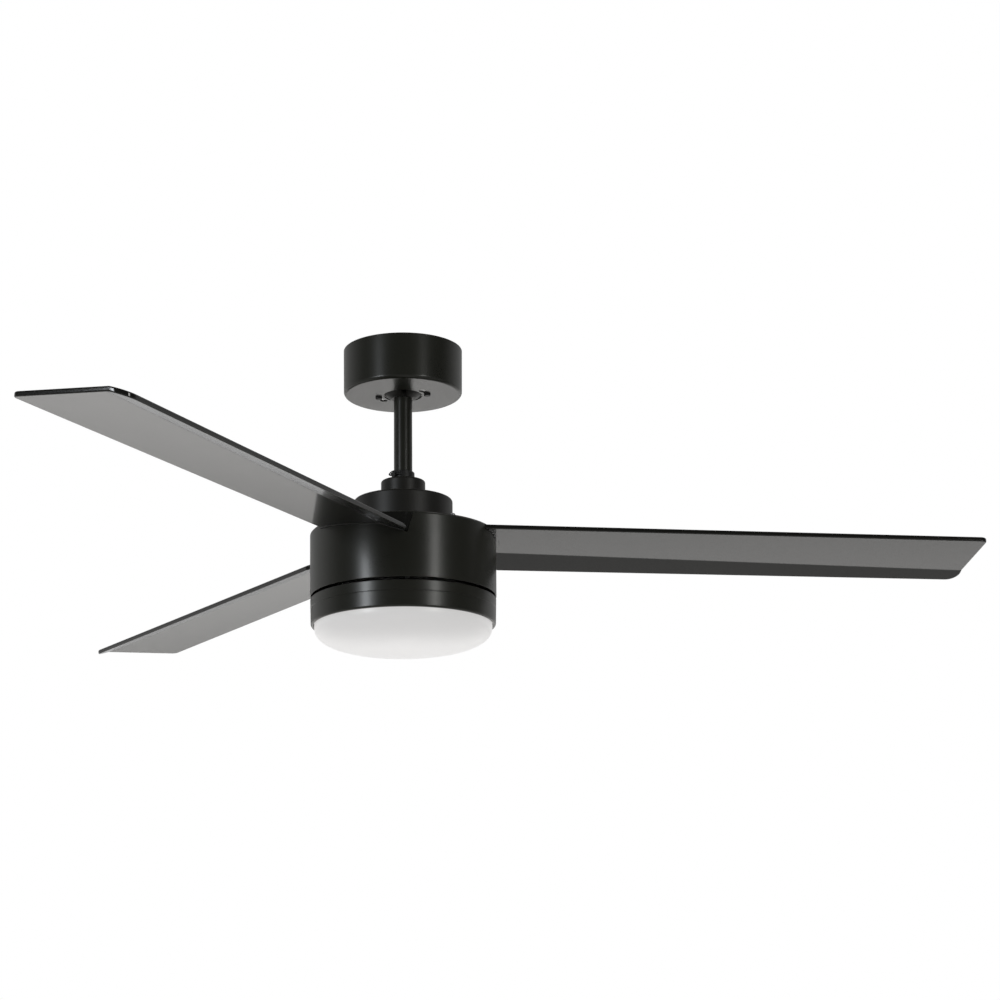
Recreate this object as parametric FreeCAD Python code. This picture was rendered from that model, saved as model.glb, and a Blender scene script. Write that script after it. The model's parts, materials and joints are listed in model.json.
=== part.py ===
import FreeCAD, Part
import math
import os

# Three-blade ceiling fan with an LED light, hung from a ball in a ceiling bracket.
# Frame: +Z up, origin on the ceiling surface where the fan's axis meets it, +X along blade 1.
# Millimetres. Heights inside the fan's head are given above its seam, the gap between the
# turning drum and the fixed light ring, and become ceiling heights through up().

Vec = FreeCAD.Vector
UP = Vec(0, 0, 1)

# Driving dimensions
SWEEP = 1320.0                 # circle the blade tips turn in
SEAM_Z = -291.5                # lower edge of the turning drum
DRUM_R_TOP = 105.0
DRUM_R_LOW = 104.5
DRUM_H = 72.3
DRUM_WALL = 1.2
SEAM_GAP = 3.4
RING_R_TOP = 104.2
RING_R_LOW = 103.5
RING_LOW = -32.7
DOME_R = 99.6
DOME_DROP = 28.0
DOME_POWER = 2.7
CANOPY_R_TOP = 68.1
CANOPY_R_LOW = 67.7
CANOPY_TOP = -0.5
CANOPY_LOW = -53.7
CANOPY_WALL = 1.0
CANOPY_HOLE_R = 22.0
ROD_R = 10.45
ROD_BORE_R = 8.5
BALL_R = 30.0
BALL_Z = -31.0
BALL_LOW = -58.0
BALL_TOP = -23.0
SOCKET_Z0 = -52.5
SOCKET_Z1 = -50.0
SHAFT_R = 8.5
SHAFT_BORE_R = 5.5
CAP_R = 25.1                   # upper tier of the coupling cover
CAP_TOP = 135.5
SKIRT_R = 56.0                 # lower tier of the coupling cover
SKIRT_TOP = 112.4
SKIRT_LOW = 80.0
YOKE_R = 13.0
YOKE_TOP = 146.0
PIN_H = 140.5
PIN_DEG = 45.0                 # direction of the clevis pin
LEAD_DEG = 37.0                # the motor leads leave the shaft square to this
BLADE_COUNT = 3
BLADE_T = 5.2
BLADE_H = 63.3                 # blade underside plane where it meets the axis
BLADE_PITCH = 5.18
BLADE_DROOP = 0.98
BLADE_TIP_X = SWEEP / 2 - 2.0  # its corners turn in the sweep circle
BLADE_LE_ROOT = -56.1
BLADE_LE_TIP = -59.0
BLADE_TE_ROOT = 61.4
BLADE_TE_TIP = 64.2
CREASE_X = 117.0
CREASE_Y = 25.0
CREASE_RISE = 0.0339
FLAP_DEG = 14.2
ROOT_R = 108.3                 # step round a blade's root, just off the drum
POLES = 12
STATOR_DEG = 7.0
KEYHOLE_R = 28.5
KEYHOLE_DEG = -42.0
SCREW_DEG = -16.0
LEAD_R = 0.9
LEAD_OFF = 4.3                 # leads run this far off the axis, clear of both cross pins
EAR_ANGLES = [60.0, 180.0, 300.0]
POST_ANGLES = [0.0, 120.0, 240.0]


def up(h):
    """Ceiling height of a point h above the seam."""
    return SEAM_Z + h


def cyl(r, z0, z1, x=0.0, y=0.0):
    return Part.makeCylinder(r, z1 - z0, Vec(x, y, z0))


def tube(ro, ri, z0, z1, x=0.0, y=0.0):
    return cyl(ro, z0, z1, x, y).cut(cyl(ri, z0 - 1, z1 + 1, x, y))


def box(x0, x1, y0, y1, z0, z1):
    return Part.makeBox(x1 - x0, y1 - y0, z1 - z0, Vec(x0, y0, z0))


def turned(shape, deg):
    """Copy of a shape turned about the fan's axis."""
    out = shape.copy()
    out.rotate(Vec(0, 0, 0), UP, deg)
    return out


def around(shape, angles):
    return [turned(shape, a) for a in angles]


def spaced(count, start=0.0):
    return [start + 360.0 * k / count for k in range(count)]


def polar(r, deg):
    a = math.radians(deg)
    return r * math.cos(a), r * math.sin(a)


def merged(solids):
    """Fuse touching solids into one clean solid."""
    out = solids[0]
    for s in solids[1:]:
        out = out.fuse(s)
    return out.removeSplitter()


def lathe(outline):
    """Solid of revolution of an (r, z) outline; a 4-item entry is an arc: a point on it, then its end."""
    edges = []
    last = Vec(outline[0][0], 0, outline[0][1])
    for item in outline[1:] + [outline[0]]:
        end = Vec(item[-2], 0, item[-1])
        if len(item) == 4:
            edges.append(Part.Arc(last, Vec(item[0], 0, item[1]), end).toShape())
        elif (end - last).Length > 1e-6:
            edges.append(Part.LineSegment(last, end).toShape())
        last = end
    return Part.Face(Part.Wire(edges)).revolve(Vec(0, 0, 0), UP, 360)


def rounded_face(points, radii):
    """Flat face with each corner rounded by its own radius."""
    pts = [Vec(x, y, 0) for x, y in points]
    edges = []
    ends = []
    for i, p in enumerate(pts):
        a = (pts[i - 1] - p).normalize()
        b = (pts[(i + 1) % len(pts)] - p).normalize()
        half = 0.5 * a.getAngle(b)
        reach = radii[i] / math.tan(half)
        mid = (a + b).normalize() * (radii[i] / math.sin(half) - radii[i])
        ends.append((p + a * reach, p + mid, p + b * reach))
    for i, (start, mid, end) in enumerate(ends):
        if radii[i] > 0:
            edges.append(Part.Arc(start, mid, end).toShape())
        edges.append(Part.LineSegment(end, ends[(i + 1) % len(ends)][0]).toShape())
    return Part.Face(Part.Wire(edges))


def sector(ro, ri, z0, z1, deg0, deg1):
    """Piece of a ring between two angles."""
    full = Part.makeCylinder(ro, z1 - z0, Vec(0, 0, z0), UP, deg1 - deg0)
    return turned(full.cut(cyl(ri, z0 - 1, z1 + 1)), deg0)


def pan_screw(head_r, head_h, shank_r, shank_l, z):
    """Screw on the axis: its head stands above height z, its shank hangs below."""
    head = cyl(head_r, z, z + head_h)
    head = head.makeFillet(head_h * 0.45, [head.Edges[0]])
    slot = box(-head_r, head_r, -0.5, 0.5, z + head_h * 0.6, z + head_h + 1)
    return merged([head.cut(slot), cyl(shank_r, z - shank_l, z)])


def flipped(shape, z):
    out = shape.copy()
    out.rotate(Vec(0, 0, z), Vec(1, 0, 0), 180)
    return out


def moved(shape, x, y, z=0.0):
    out = shape.copy()
    out.translate(Vec(x, y, z))
    return out


def bent_tube(points, radius, bend):
    """Round wire along straight runs joined by tangent arcs."""
    pts = [Vec(*p) for p in points]
    edges = []
    start = pts[0]
    for i in range(1, len(pts) - 1):
        a = (pts[i - 1] - pts[i]).normalize()
        b = (pts[i + 1] - pts[i]).normalize()
        half = 0.5 * a.getAngle(b)
        reach = bend / math.tan(half)
        mid = (a + b).normalize() * (bend / math.sin(half) - bend)
        edges.append(Part.LineSegment(start, pts[i] + a * reach).toShape())
        edges.append(Part.Arc(pts[i] + a * reach, pts[i] + mid, pts[i] + b * reach).toShape())
        start = pts[i] + b * reach
    edges.append(Part.LineSegment(start, pts[-1]).toShape())
    ring = Part.Wire(Part.makeCircle(radius, pts[0], pts[1] - pts[0]))
    return Part.Wire(edges).makePipeShell([ring], True, False)


def save(name, solids):
    shape = solids[0] if len(solids) == 1 else Part.makeCompound(solids)
    if not shape.isValid():
        raise ValueError("invalid shape: " + name)
    shape.exportStep("parts/" + name + ".step")


# Ceiling mount ---------------------------------------------------------------

def mounting_bracket():
    plate = box(-50, 50, -23, 23, -2.0, 0)
    wings = box(-14, 14, -56, 56, -2.0, 0)
    arms = [box(s * 41 - 1, s * 41 + 1, -15, 15, SOCKET_Z0, 0) for s in (-1, 1)]
    base = cyl(42, SOCKET_Z0, SOCKET_Z1)
    base = base.cut(Part.makeSphere(BALL_R + 0.3, Vec(0, 0, BALL_Z)))
    base = base.cut(box(-12, 12, 0, 60, SOCKET_Z0 - 1, SOCKET_Z1 + 1))
    tab = box(-1.8, 1.8, -24.5, -20.5, SOCKET_Z0, SOCKET_Z1)
    body = merged([plate, wings, base, tab] + arms)
    for s in (-1, 1):
        slot = merged([cyl(2.8, -3, 1, s * 37), cyl(2.8, -3, 1, s * 46),
                       box(min(s * 37, s * 46), max(s * 37, s * 46), -2.8, 2.8, -3, 1)])
        body = body.cut(slot)
        x, y = polar(KEYHOLE_R * s, SCREW_DEG)
        body = body.cut(cyl(2.15, SOCKET_Z0 - 1, SOCKET_Z1 + 1, x, y))
    body = body.cut(cyl(9.0, -3, 1))
    body = body.cut(cyl(2.1, -3, 1, 28, 14))
    return [body]


def canopy():
    slope = (CANOPY_R_TOP - CANOPY_R_LOW) / (CANOPY_TOP - CANOPY_LOW)
    edge = 4.0
    inner = edge - CANOPY_WALL
    k = 1 - math.sqrt(0.5)
    r_edge = CANOPY_R_LOW + slope * edge
    shell = lathe([
        (CANOPY_R_TOP, CANOPY_TOP), (r_edge, CANOPY_LOW + edge),
        (r_edge - edge * k, CANOPY_LOW + edge * k, r_edge - edge, CANOPY_LOW),
        (CANOPY_HOLE_R, CANOPY_LOW), (CANOPY_HOLE_R, CANOPY_LOW + CANOPY_WALL),
        (r_edge - edge, CANOPY_LOW + CANOPY_WALL),
        (r_edge - edge + inner * math.sqrt(0.5), CANOPY_LOW + edge - inner * math.sqrt(0.5),
         r_edge - CANOPY_WALL, CANOPY_LOW + edge),
        (CANOPY_R_TOP - CANOPY_WALL, CANOPY_TOP)])
    for s in (-1, 1):
        x, y = polar(KEYHOLE_R * s, KEYHOLE_DEG)
        shell = shell.cut(cyl(4.2, CANOPY_LOW - 1, CANOPY_LOW + 2, x, y))
        slot = sector(KEYHOLE_R + 2.4, KEYHOLE_R - 2.4, CANOPY_LOW - 1, CANOPY_LOW + 2,
                      KEYHOLE_DEG, SCREW_DEG)
        slot = slot.fuse(cyl(2.4, CANOPY_LOW - 1, CANOPY_LOW + 2, *polar(KEYHOLE_R, SCREW_DEG)))
        shell = shell.cut(turned(slot, 0 if s > 0 else 180))
    return [shell]


def canopy_screws():
    screw = flipped(pan_screw(3.8, 2.4, 2.1, 6.0, CANOPY_LOW), CANOPY_LOW)
    return [moved(screw, *polar(KEYHOLE_R * s, SCREW_DEG)) for s in (-1, 1)]


def receiver():
    case = box(-28, 28, 32, 53, -34, -2)
    case = case.makeFillet(2.0, [e for e in case.Edges if abs(e.Length - 32) < 0.1])
    return [case.cut(box(-20, 20, 52.4, 54, -28, -8))]


def terminal_block():
    block = box(-16, 16, -50, -36, -16, -2)
    for k in range(3):
        x = -10 + 10 * k
        block = block.cut(Part.makeCylinder(1.6, 20, Vec(x, -52, -9), Vec(0, 1, 0)))
        for y in (-46.5, -39.5):
            block = block.cut(cyl(2.2, -17, -11.5, x, y))
    return [block]


def terminal_screws():
    screw = cyl(1.9, -15.4, -12.0).cut(box(-3, 3, -0.3, 0.3, -16, -14.8))
    return [moved(screw, -10 + 10 * k, y) for k in range(3) for y in (-46.5, -39.5)]


def earth_screw():
    return [moved(flipped(pan_screw(4.0, 2.4, 2.0, 2.0, -2.0), -2.0), 28, 14)]


# Hanging assembly ------------------------------------------------------------

def along_pin(shape):
    """Turn a shape drawn along X to the direction of the clevis pin."""
    return turned(shape, PIN_DEG)


def along_leads(shape):
    return turned(shape, LEAD_DEG)


def hanger_ball():
    ball = Part.makeSphere(BALL_R, Vec(0, 0, BALL_Z))
    ball = ball.common(cyl(BALL_R + 1, BALL_LOW, BALL_TOP))
    ball = ball.cut(cyl(ROD_R, BALL_LOW - 1, BALL_TOP + 1))
    ball = ball.cut(box(-3.0, 3.0, -BALL_R - 1, -13.5, BALL_LOW - 1, BALL_TOP + 1))
    pin = Part.makeCylinder(2.6, 60, Vec(-30, 0, BALL_Z), Vec(1, 0, 0))
    screw = Part.makeCylinder(2.5, 30, Vec(0, 0, BALL_Z + 1), Vec(0, 1, 0))
    return [ball.cut(along_pin(pin)).cut(along_pin(screw))]


def ball_pin():
    return [along_pin(Part.makeCylinder(2.5, 54, Vec(-27, 0, BALL_Z), Vec(1, 0, 0)))]


def ball_set_screw():
    screw = Part.makeCylinder(2.5, 14, Vec(0, ROD_R + 0.1, BALL_Z + 1), Vec(0, 1, 0))
    corners = [polar(1.3, 60 * k) for k in range(7)]
    hexagon = Part.Face(Part.makePolygon([Vec(u, ROD_R + 20, BALL_Z + 1 + v) for u, v in corners]))
    return [along_pin(screw.cut(hexagon.extrude(Vec(0, -9, 0))))]


def downrod():
    rod = tube(ROD_R, ROD_BORE_R, up(SKIRT_TOP), -19.0)
    for z, r in ((BALL_Z, 2.55), (up(PIN_H), 3.05)):
        rod = rod.cut(along_pin(Part.makeCylinder(r, 60, Vec(-30, 0, z), Vec(1, 0, 0))))
    return [rod]


def lead_connector():
    plug = box(-8, 8, -7, 7, -17.0, -6.0)
    return [along_leads(plug.makeFillet(1.0, [e for e in plug.Edges if abs(e.Length - 11) < 0.1]))]


def motor_leads():
    """Two leads down the rod and shaft, out through its side slot to a coil."""
    low = up(36.4)
    return [along_leads(bent_tube([(s, LEAD_OFF, -17.0), (s, LEAD_OFF, low), (s, 33.0, low)], LEAD_R, 4.0))
            for s in (-1.05, 1.05)]


def light_leads():
    """Two leads down through the whole shaft to the light's driver."""
    low = up(-15.6)
    return [along_leads(bent_tube([(s, -LEAD_OFF, -17.0), (s, -LEAD_OFF, low), (s, -22.0, low)], LEAD_R, 3.2))
            for s in (-1.05, 1.05)]


def yoke():
    body = merged([cyl(35, up(84), up(87)), cyl(16, up(84), up(110)), cyl(YOKE_R, up(110), up(YOKE_TOP))])
    rim = [e for e in body.Edges if e.BoundBox.ZMin > up(YOKE_TOP) - 0.01]
    body = body.makeFillet(1.5, rim)
    body = body.cut(cyl(SHAFT_R, up(83), up(108)))
    body = body.cut(cyl(5.8, up(107), up(113)))
    body = body.cut(cyl(ROD_R, up(SKIRT_TOP), up(YOKE_TOP) + 1))
    pin = Part.makeCylinder(3.05, 60, Vec(-30, 0, up(PIN_H)), Vec(1, 0, 0))
    body = body.cut(along_pin(pin))
    for h in (97, 122):
        grub = Part.makeCylinder(2.5, 60, Vec(0, -30, up(h)), Vec(0, 1, 0))
        body = body.cut(along_pin(grub))
    for a in EAR_ANGLES:
        body = body.cut(cyl(1.7, up(83), up(88), *polar(30, a)))
    return [body]


def yoke_set_screws():
    solids = []
    for h, inner, outer in ((97, SHAFT_R, 16.0), (122, ROD_R, YOKE_R)):
        for s in (-1, 1):
            grub = Part.makeCylinder(2.5, outer - inner, Vec(0, s * inner, up(h)), Vec(0, s, 0))
            key = Part.makeCylinder(1.1, 4, Vec(0, s * (outer - 1.5), up(h)), Vec(0, s, 0))
            solids.append(along_pin(grub.cut(key)))
    return solids


def clevis_pin():
    """The head is at the far end; the near end is cross-drilled for its clip."""
    shank = Part.makeCylinder(3.0, 31.0, Vec(-17.0, 0, up(PIN_H)), Vec(1, 0, 0))
    head = Part.makeCylinder(4.6, 2.4, Vec(14.0, 0, up(PIN_H)), Vec(1, 0, 0))
    head = head.makeFillet(1.0, [head.Edges[0]])
    hole = Part.makeCylinder(0.85, 20, Vec(-14.7, -10, up(PIN_H)), Vec(0, 1, 0))
    return [along_pin(merged([shank, head]).cut(hole))]


def hairpin_clip():
    """Spring wire: a straight leg through the pin, a loop, and a bowed leg over the pin."""
    x = -14.7
    z = up(PIN_H)
    wire_r = 0.7
    loop_r = 1.7
    loop_y = 5.4
    straight = Part.makeCylinder(wire_r, loop_y + 7.5, Vec(x, -7.5, z), Vec(0, 1, 0))
    loop = Part.makeTorus(loop_r, wire_r, Vec(x, loop_y, z + loop_r), Vec(1, 0, 0))
    bowed = bent_tube([(x, loop_y, z + 2 * loop_r), (x, 0, z + 4.8), (x, -4.4, z + 2.2),
                       (x, -7.5, z + 3.6)], wire_r, 1.0)
    return [along_pin(merged([straight, loop, bowed]))]


def coupling_cover():
    wall = 2.0
    edge = 2.5
    k = 1 - math.sqrt(0.5)
    shell = lathe([
        (SKIRT_R, up(SKIRT_LOW)), (SKIRT_R, up(SKIRT_TOP - edge)),
        (SKIRT_R - edge * k, up(SKIRT_TOP - edge * k), SKIRT_R - edge, up(SKIRT_TOP)),
        (CAP_R, up(SKIRT_TOP)), (CAP_R, up(CAP_TOP - edge)),
        (CAP_R - edge * k, up(CAP_TOP - edge * k), CAP_R - edge, up(CAP_TOP)),
        (20.0, up(CAP_TOP)), (20.0, up(CAP_TOP - wall)),
        (CAP_R - wall - 1, up(CAP_TOP - wall)), (CAP_R - wall, up(CAP_TOP - wall - 1)),
        (CAP_R - wall, up(SKIRT_TOP - wall)), (SKIRT_R - wall - 1, up(SKIRT_TOP - wall)),
        (SKIRT_R - wall, up(SKIRT_TOP - wall - 1)), (SKIRT_R - wall, up(SKIRT_LOW))])
    posts = [cyl(4.0, up(87), up(SKIRT_TOP - wall), *polar(30, a)) for a in EAR_ANGLES]
    body = merged([shell] + posts)
    for a in EAR_ANGLES:
        body = body.cut(cyl(1.5, up(86), up(98), *polar(30, a)))
    return [body]


def coupling_cover_screws():
    screw = flipped(pan_screw(3.2, 2.0, 1.5, 12.5, up(84)), up(84))
    return [moved(screw, *polar(30, a)) for a in EAR_ANGLES]


# Motor -----------------------------------------------------------------------

def motor_shaft():
    shaft = tube(SHAFT_R, SHAFT_BORE_R, up(-12.5), up(108))
    slot = box(-2.4, 2.4, 0, 10, up(35.0), up(42.2))
    return [shaft.cut(along_leads(slot))]


def stator_core():
    hub = tube(30, SHAFT_R, up(20), up(34))
    tooth = box(28, 71, -4.5, 4.5, up(20), up(34))
    tip = sector(73.2, 69.5, up(20), up(34), -12.0, 12.0)
    teeth = [s for a in spaced(POLES, STATOR_DEG) for s in (turned(tooth, a), turned(tip, a))]
    window = [cyl(3.5, up(19), up(35), *polar(20, a)) for a in spaced(6)]
    core = merged([hub] + teeth)
    for w in window:
        core = core.cut(w)
    return [core]


def stator_windings():
    outer = box(33, 67, -8.0, 8.0, up(16.5), up(37.5))
    outer = outer.makeFillet(2.5, [e for e in outer.Edges if abs(e.Length - 34) < 0.1])
    spread = 80 * math.tan(math.radians(13.0))
    wedge = Part.Face(Part.makePolygon([Vec(0, 0, up(10)), Vec(80, -spread, up(10)),
                                        Vec(80, spread, up(10)), Vec(0, 0, up(10))]))
    coil = outer.common(wedge.extrude(Vec(0, 0, 40))).cut(box(30, 70, -4.5, 4.5, up(20), up(34)))
    return around(coil, spaced(POLES, STATOR_DEG))


def bearing(h):
    """Inner race, outer race and balls of a bearing whose lower face is at height h."""
    groove = Part.makeTorus(14.5, 2.5, Vec(0, 0, up(h + 6)))
    inner = tube(12.6, SHAFT_R, up(h), up(h + 12)).cut(groove)
    outer = tube(20.0, 16.4, up(h), up(h + 12)).cut(groove)
    balls = [Part.makeSphere(2.3, Vec(*polar(14.5, a), up(h + 6))) for a in spaced(9)]
    return inner, outer, balls


def shaft_circlips():
    clips = []
    for h in (4.2, 54.6):
        clip = tube(11.0, SHAFT_R, up(h), up(h + 1.2)).cut(box(0, 12, -1.5, 1.5, up(h) - 1, up(h) + 2))
        clips.append(clip)
    return clips


def rotor_cover(h_disc, h_hub0, h_hub1, seat0, seat1, screw_r=1.6):
    """Rotor end cover with a bearing hub; the lip past the seat keeps the bearing in."""
    body = merged([cyl(83, up(h_disc), up(h_disc + 3)), cyl(24, up(h_hub0), up(h_hub1))])
    body = body.cut(cyl(13.5, up(h_hub0 - 1), up(h_hub1 + 1)))
    body = body.cut(cyl(20, up(seat0), up(seat1)))
    for a in spaced(6, 30):
        body = body.cut(cyl(screw_r, up(h_disc - 1), up(h_disc + 4), *polar(81, a)))
    return body


def rotor_top_cover():
    body = rotor_cover(42, 42, 56, 41.5, 54.5)
    for a in spaced(6, 30):
        body = body.cut(cyl(1.9, up(41), up(46), *polar(34, a)))
    return [body]


def rotor_bottom_cover():
    body = rotor_cover(5, 4, 18, 5.5, 18.5)
    for a in spaced(6):
        body = body.cut(cyl(8, up(4), up(9), *polar(52, a)))
    return [body]


def rotor_ring():
    body = tube(83, 79, up(8), up(42))
    for a in spaced(6, 30):
        for h in (7, 32):
            body = body.cut(cyl(1.5, up(h), up(h + 11), *polar(81, a)))
    return [body]


def magnets():
    piece = sector(79, 74.6, up(13), up(39), -12.5, 12.5)
    return around(piece, spaced(POLES))


def rotor_screws():
    low = flipped(pan_screw(2.6, 1.6, 1.5, 11.0, up(5)), up(5))
    top = pan_screw(2.6, 1.6, 1.5, 11.0, up(45))
    return [moved(s, *polar(81, a)) for a in spaced(6, 30) for s in (low, top)]


# Blades and their carrier ----------------------------------------------------

def on_blade(shape):
    """Move a shape from the blade's own frame, x outward, y to its trailing edge, to blade 1."""
    out = shape.copy()
    out.rotate(Vec(0, 0, 0), Vec(1, 0, 0), -BLADE_PITCH)
    out.rotate(Vec(0, 0, 0), Vec(0, 1, 0), BLADE_DROOP)
    out.translate(Vec(0, 0, up(BLADE_H)))
    return out


def blade_outline():
    return rounded_face(
        [(42, -34), (70, -34), (86, BLADE_LE_ROOT), (BLADE_TIP_X, BLADE_LE_TIP),
         (BLADE_TIP_X - 2.2, BLADE_TE_TIP), (112, BLADE_TE_ROOT), (93, 50.5), (80, 24), (70, 22), (42, 22)],
        [4, 10, 6, 7, 16, 4, 6, 6, 6, 4])


def blade_section(low, high):
    """Bent plate: flat to the crease, then the strip bent down; low and high shift its faces."""
    a = math.radians(FLAP_DEG)
    t = math.tan(a / 2)
    far = 60.0
    drop = far * math.tan(a)
    pts = [(-110, low), (low * t, low), (far + low * math.sin(a), low * math.cos(a) - drop),
           (far + high * math.sin(a), high * math.cos(a) - drop), (high * t, high), (-110, high)]
    return extruded_section(pts)


def extruded_section(pts):
    """Section across the crease line, drawn out along it."""
    face = Part.Face(Part.makePolygon([Vec(0, y, z) for y, z in pts + [pts[0]]]))
    solid = face.extrude(Vec(720, 0, 0))
    solid.rotate(Vec(0, 0, 0), UP, math.degrees(math.atan(CREASE_RISE)))
    solid.translate(Vec(0, CREASE_Y - CREASE_RISE * CREASE_X, 0))
    return solid


BLADE_SCREWS = [(64, -24), (64, 12), (50, -6)]


def blade():
    """Plate with a step and a closing wall at its root that fill the drum's opening."""
    plan = blade_outline().extrude(Vec(0, 0, 60))
    plan.translate(Vec(0, 0, -30))
    body = blade_section(0, BLADE_T).common(plan)
    step = blade_section(-0.6, BLADE_T / 2).common(plan).common(tube(ROOT_R, 104.2, -30, 30))
    body = merged([body, step])
    for x, y in BLADE_SCREWS:
        body = body.cut(cyl(2.6, -5, 10, x, y))
    opening = notch(0.4)
    wall = tube(105.35, 102.9, up(30), up(90)).cut(opening)
    closing = opening.common(tube(104.9, 103.6, up(30), up(DRUM_H - 0.3)))
    closing = closing.common(on_blade(blade_section(0.8, 40).common(box(80, 125, -55.6, 70, -30, 45))))
    return merged([on_blade(body).cut(wall), closing])


def notch(gap=0.0):
    """Opening in the drum's wall that a blade drops into from above, drawn in all round by a gap."""
    a = math.radians(FLAP_DEG)
    low = gap - 0.7
    side = 28.0 - gap
    pts = [(gap - 82.2, low), (0, low), (side, low / math.cos(a) - side * math.tan(a)), (side + 1.0, -4.5),
           (side + 2.0, 4.0), (side + 3.5, 9.0), (side + 3.5, 40), (gap - 82.2, 40)]
    return on_blade(extruded_section(pts).common(box(80, 125, -70, 70, -30, 45)))


def blade_carrier():
    ring = tube(77, 26, up(45), up(49))
    pad = box(42, 82, -36, 22, up(47), up(75)).common(cyl(82, up(40), up(80)))
    above = on_blade(box(0, 200, -100, 100, 0, 40))
    pad = pad.cut(above)
    pocket = box(52, 60, -20, 6, up(52), up(80))
    body = merged([ring] + around(pad, spaced(BLADE_COUNT)))
    for x, y in BLADE_SCREWS:
        hole = on_blade(cyl(2.4, -9.5, 1, x, y))
        for h in around(hole, spaced(BLADE_COUNT)):
            body = body.cut(h)
    for a in spaced(6, 30):
        body = body.cut(cyl(1.9, up(44), up(50), *polar(34, a)))
    for a in EAR_ANGLES:
        body = body.cut(cyl(1.9, up(44), up(50), *polar(72, a)))
    for p in around(pocket, spaced(BLADE_COUNT)):
        body = body.cut(p)
    return [body]


def carrier_screws():
    return [moved(pan_screw(3.4, 2.2, 1.9, 6.5, up(49)), *polar(34, a)) for a in spaced(6, 30)]


def blade_screws():
    screw = pan_screw(4.6, 2.6, 2.4, 14.5, BLADE_T + 1.0)
    screws = [on_blade(moved(screw, x, y)) for x, y in BLADE_SCREWS]
    return [turned(s, a) for a in spaced(BLADE_COUNT) for s in screws]


def blade_washers():
    rings = [on_blade(tube(5.8, 2.6, BLADE_T, BLADE_T + 1.0, x, y)) for x, y in BLADE_SCREWS]
    return [turned(s, a) for a in spaced(BLADE_COUNT) for s in rings]


def motor_housing():
    edge = 1.8
    k = 1 - math.sqrt(0.5)
    flange_in = 97.0
    slope = (DRUM_R_TOP - DRUM_R_LOW) / DRUM_H
    r_edge = DRUM_R_TOP - slope * edge
    shell = lathe([
        (DRUM_R_LOW, up(0)), (r_edge, up(DRUM_H - edge)),
        (r_edge - edge * k, up(DRUM_H - edge * k), r_edge - edge, up(DRUM_H)),
        (flange_in, up(DRUM_H)), (flange_in, up(DRUM_H - DRUM_WALL)),
        (r_edge - DRUM_WALL, up(DRUM_H - DRUM_WALL)), (DRUM_R_LOW - DRUM_WALL, up(0))])
    ear = box(65, DRUM_R_TOP, -12, 12, up(49), up(50.5)).common(cyl(104.3, up(40), up(60)))
    boss = cyl(4.2, up(63), up(72), 99.6, 0)
    extras = [s for a in EAR_ANGLES for s in (turned(ear, a), turned(boss, a))]
    body = merged([shell] + extras)
    for cutter in around(notch(), spaced(BLADE_COUNT)):
        body = body.cut(cutter)
    for a in EAR_ANGLES:
        body = body.cut(cyl(2.0, up(48), up(52), *polar(72, a)))
        body = body.cut(cyl(1.4, up(64), up(74), *polar(99.6, a)))
    return [body]


def housing_screws():
    return [moved(pan_screw(3.4, 2.2, 1.85, 5.3, up(50.5)), *polar(72, a)) for a in EAR_ANGLES]


def housing_top_cover():
    """Lid over the blade roots, raised in the middle to clear their screws."""
    t = 1.2
    z = DRUM_H
    lid = lathe([
        (30, up(z + 5.3)), (74, up(z + 5.3)), (80, up(z)), (103.0, up(z)), (103.0, up(z + t * 0.5)),
        (102.4, up(z + t)), (80.6, up(z + t)), (74.6, up(z + 5.3 + t)), (30, up(z + 5.3 + t))])
    for a in EAR_ANGLES:
        lid = lid.cut(cyl(1.6, up(z - 1), up(z + 3), *polar(99.6, a)))
    return [lid]


def top_cover_screws():
    return [moved(pan_screw(2.8, 1.8, 1.4, 7.0, up(DRUM_H + 1.2)), *polar(99.6, a)) for a in EAR_ANGLES]


# Light -----------------------------------------------------------------------

def shaft_spacer():
    return [tube(11.5, SHAFT_R, up(-SEAM_GAP), up(4.2))]


def light_kit_plate():
    plate = tube(102.6, SHAFT_R, up(-4.9), up(-SEAM_GAP))
    for a in EAR_ANGLES:
        plate = plate.cut(cyl(1.5, up(-6), up(-2), *polar(97, a)))
    for a in POST_ANGLES:
        plate = plate.cut(cyl(1.7, up(-6), up(-2), *polar(60, a)))
    return [plate]


def shaft_nut():
    pts = [Vec(*polar(13.8, a), up(-10.9)) for a in spaced(6) + [0]]
    nut = Part.Face(Part.makePolygon(pts)).extrude(Vec(0, 0, 6.0))
    return [nut.cut(cyl(SHAFT_R, up(-12), up(-4)))]


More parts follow.
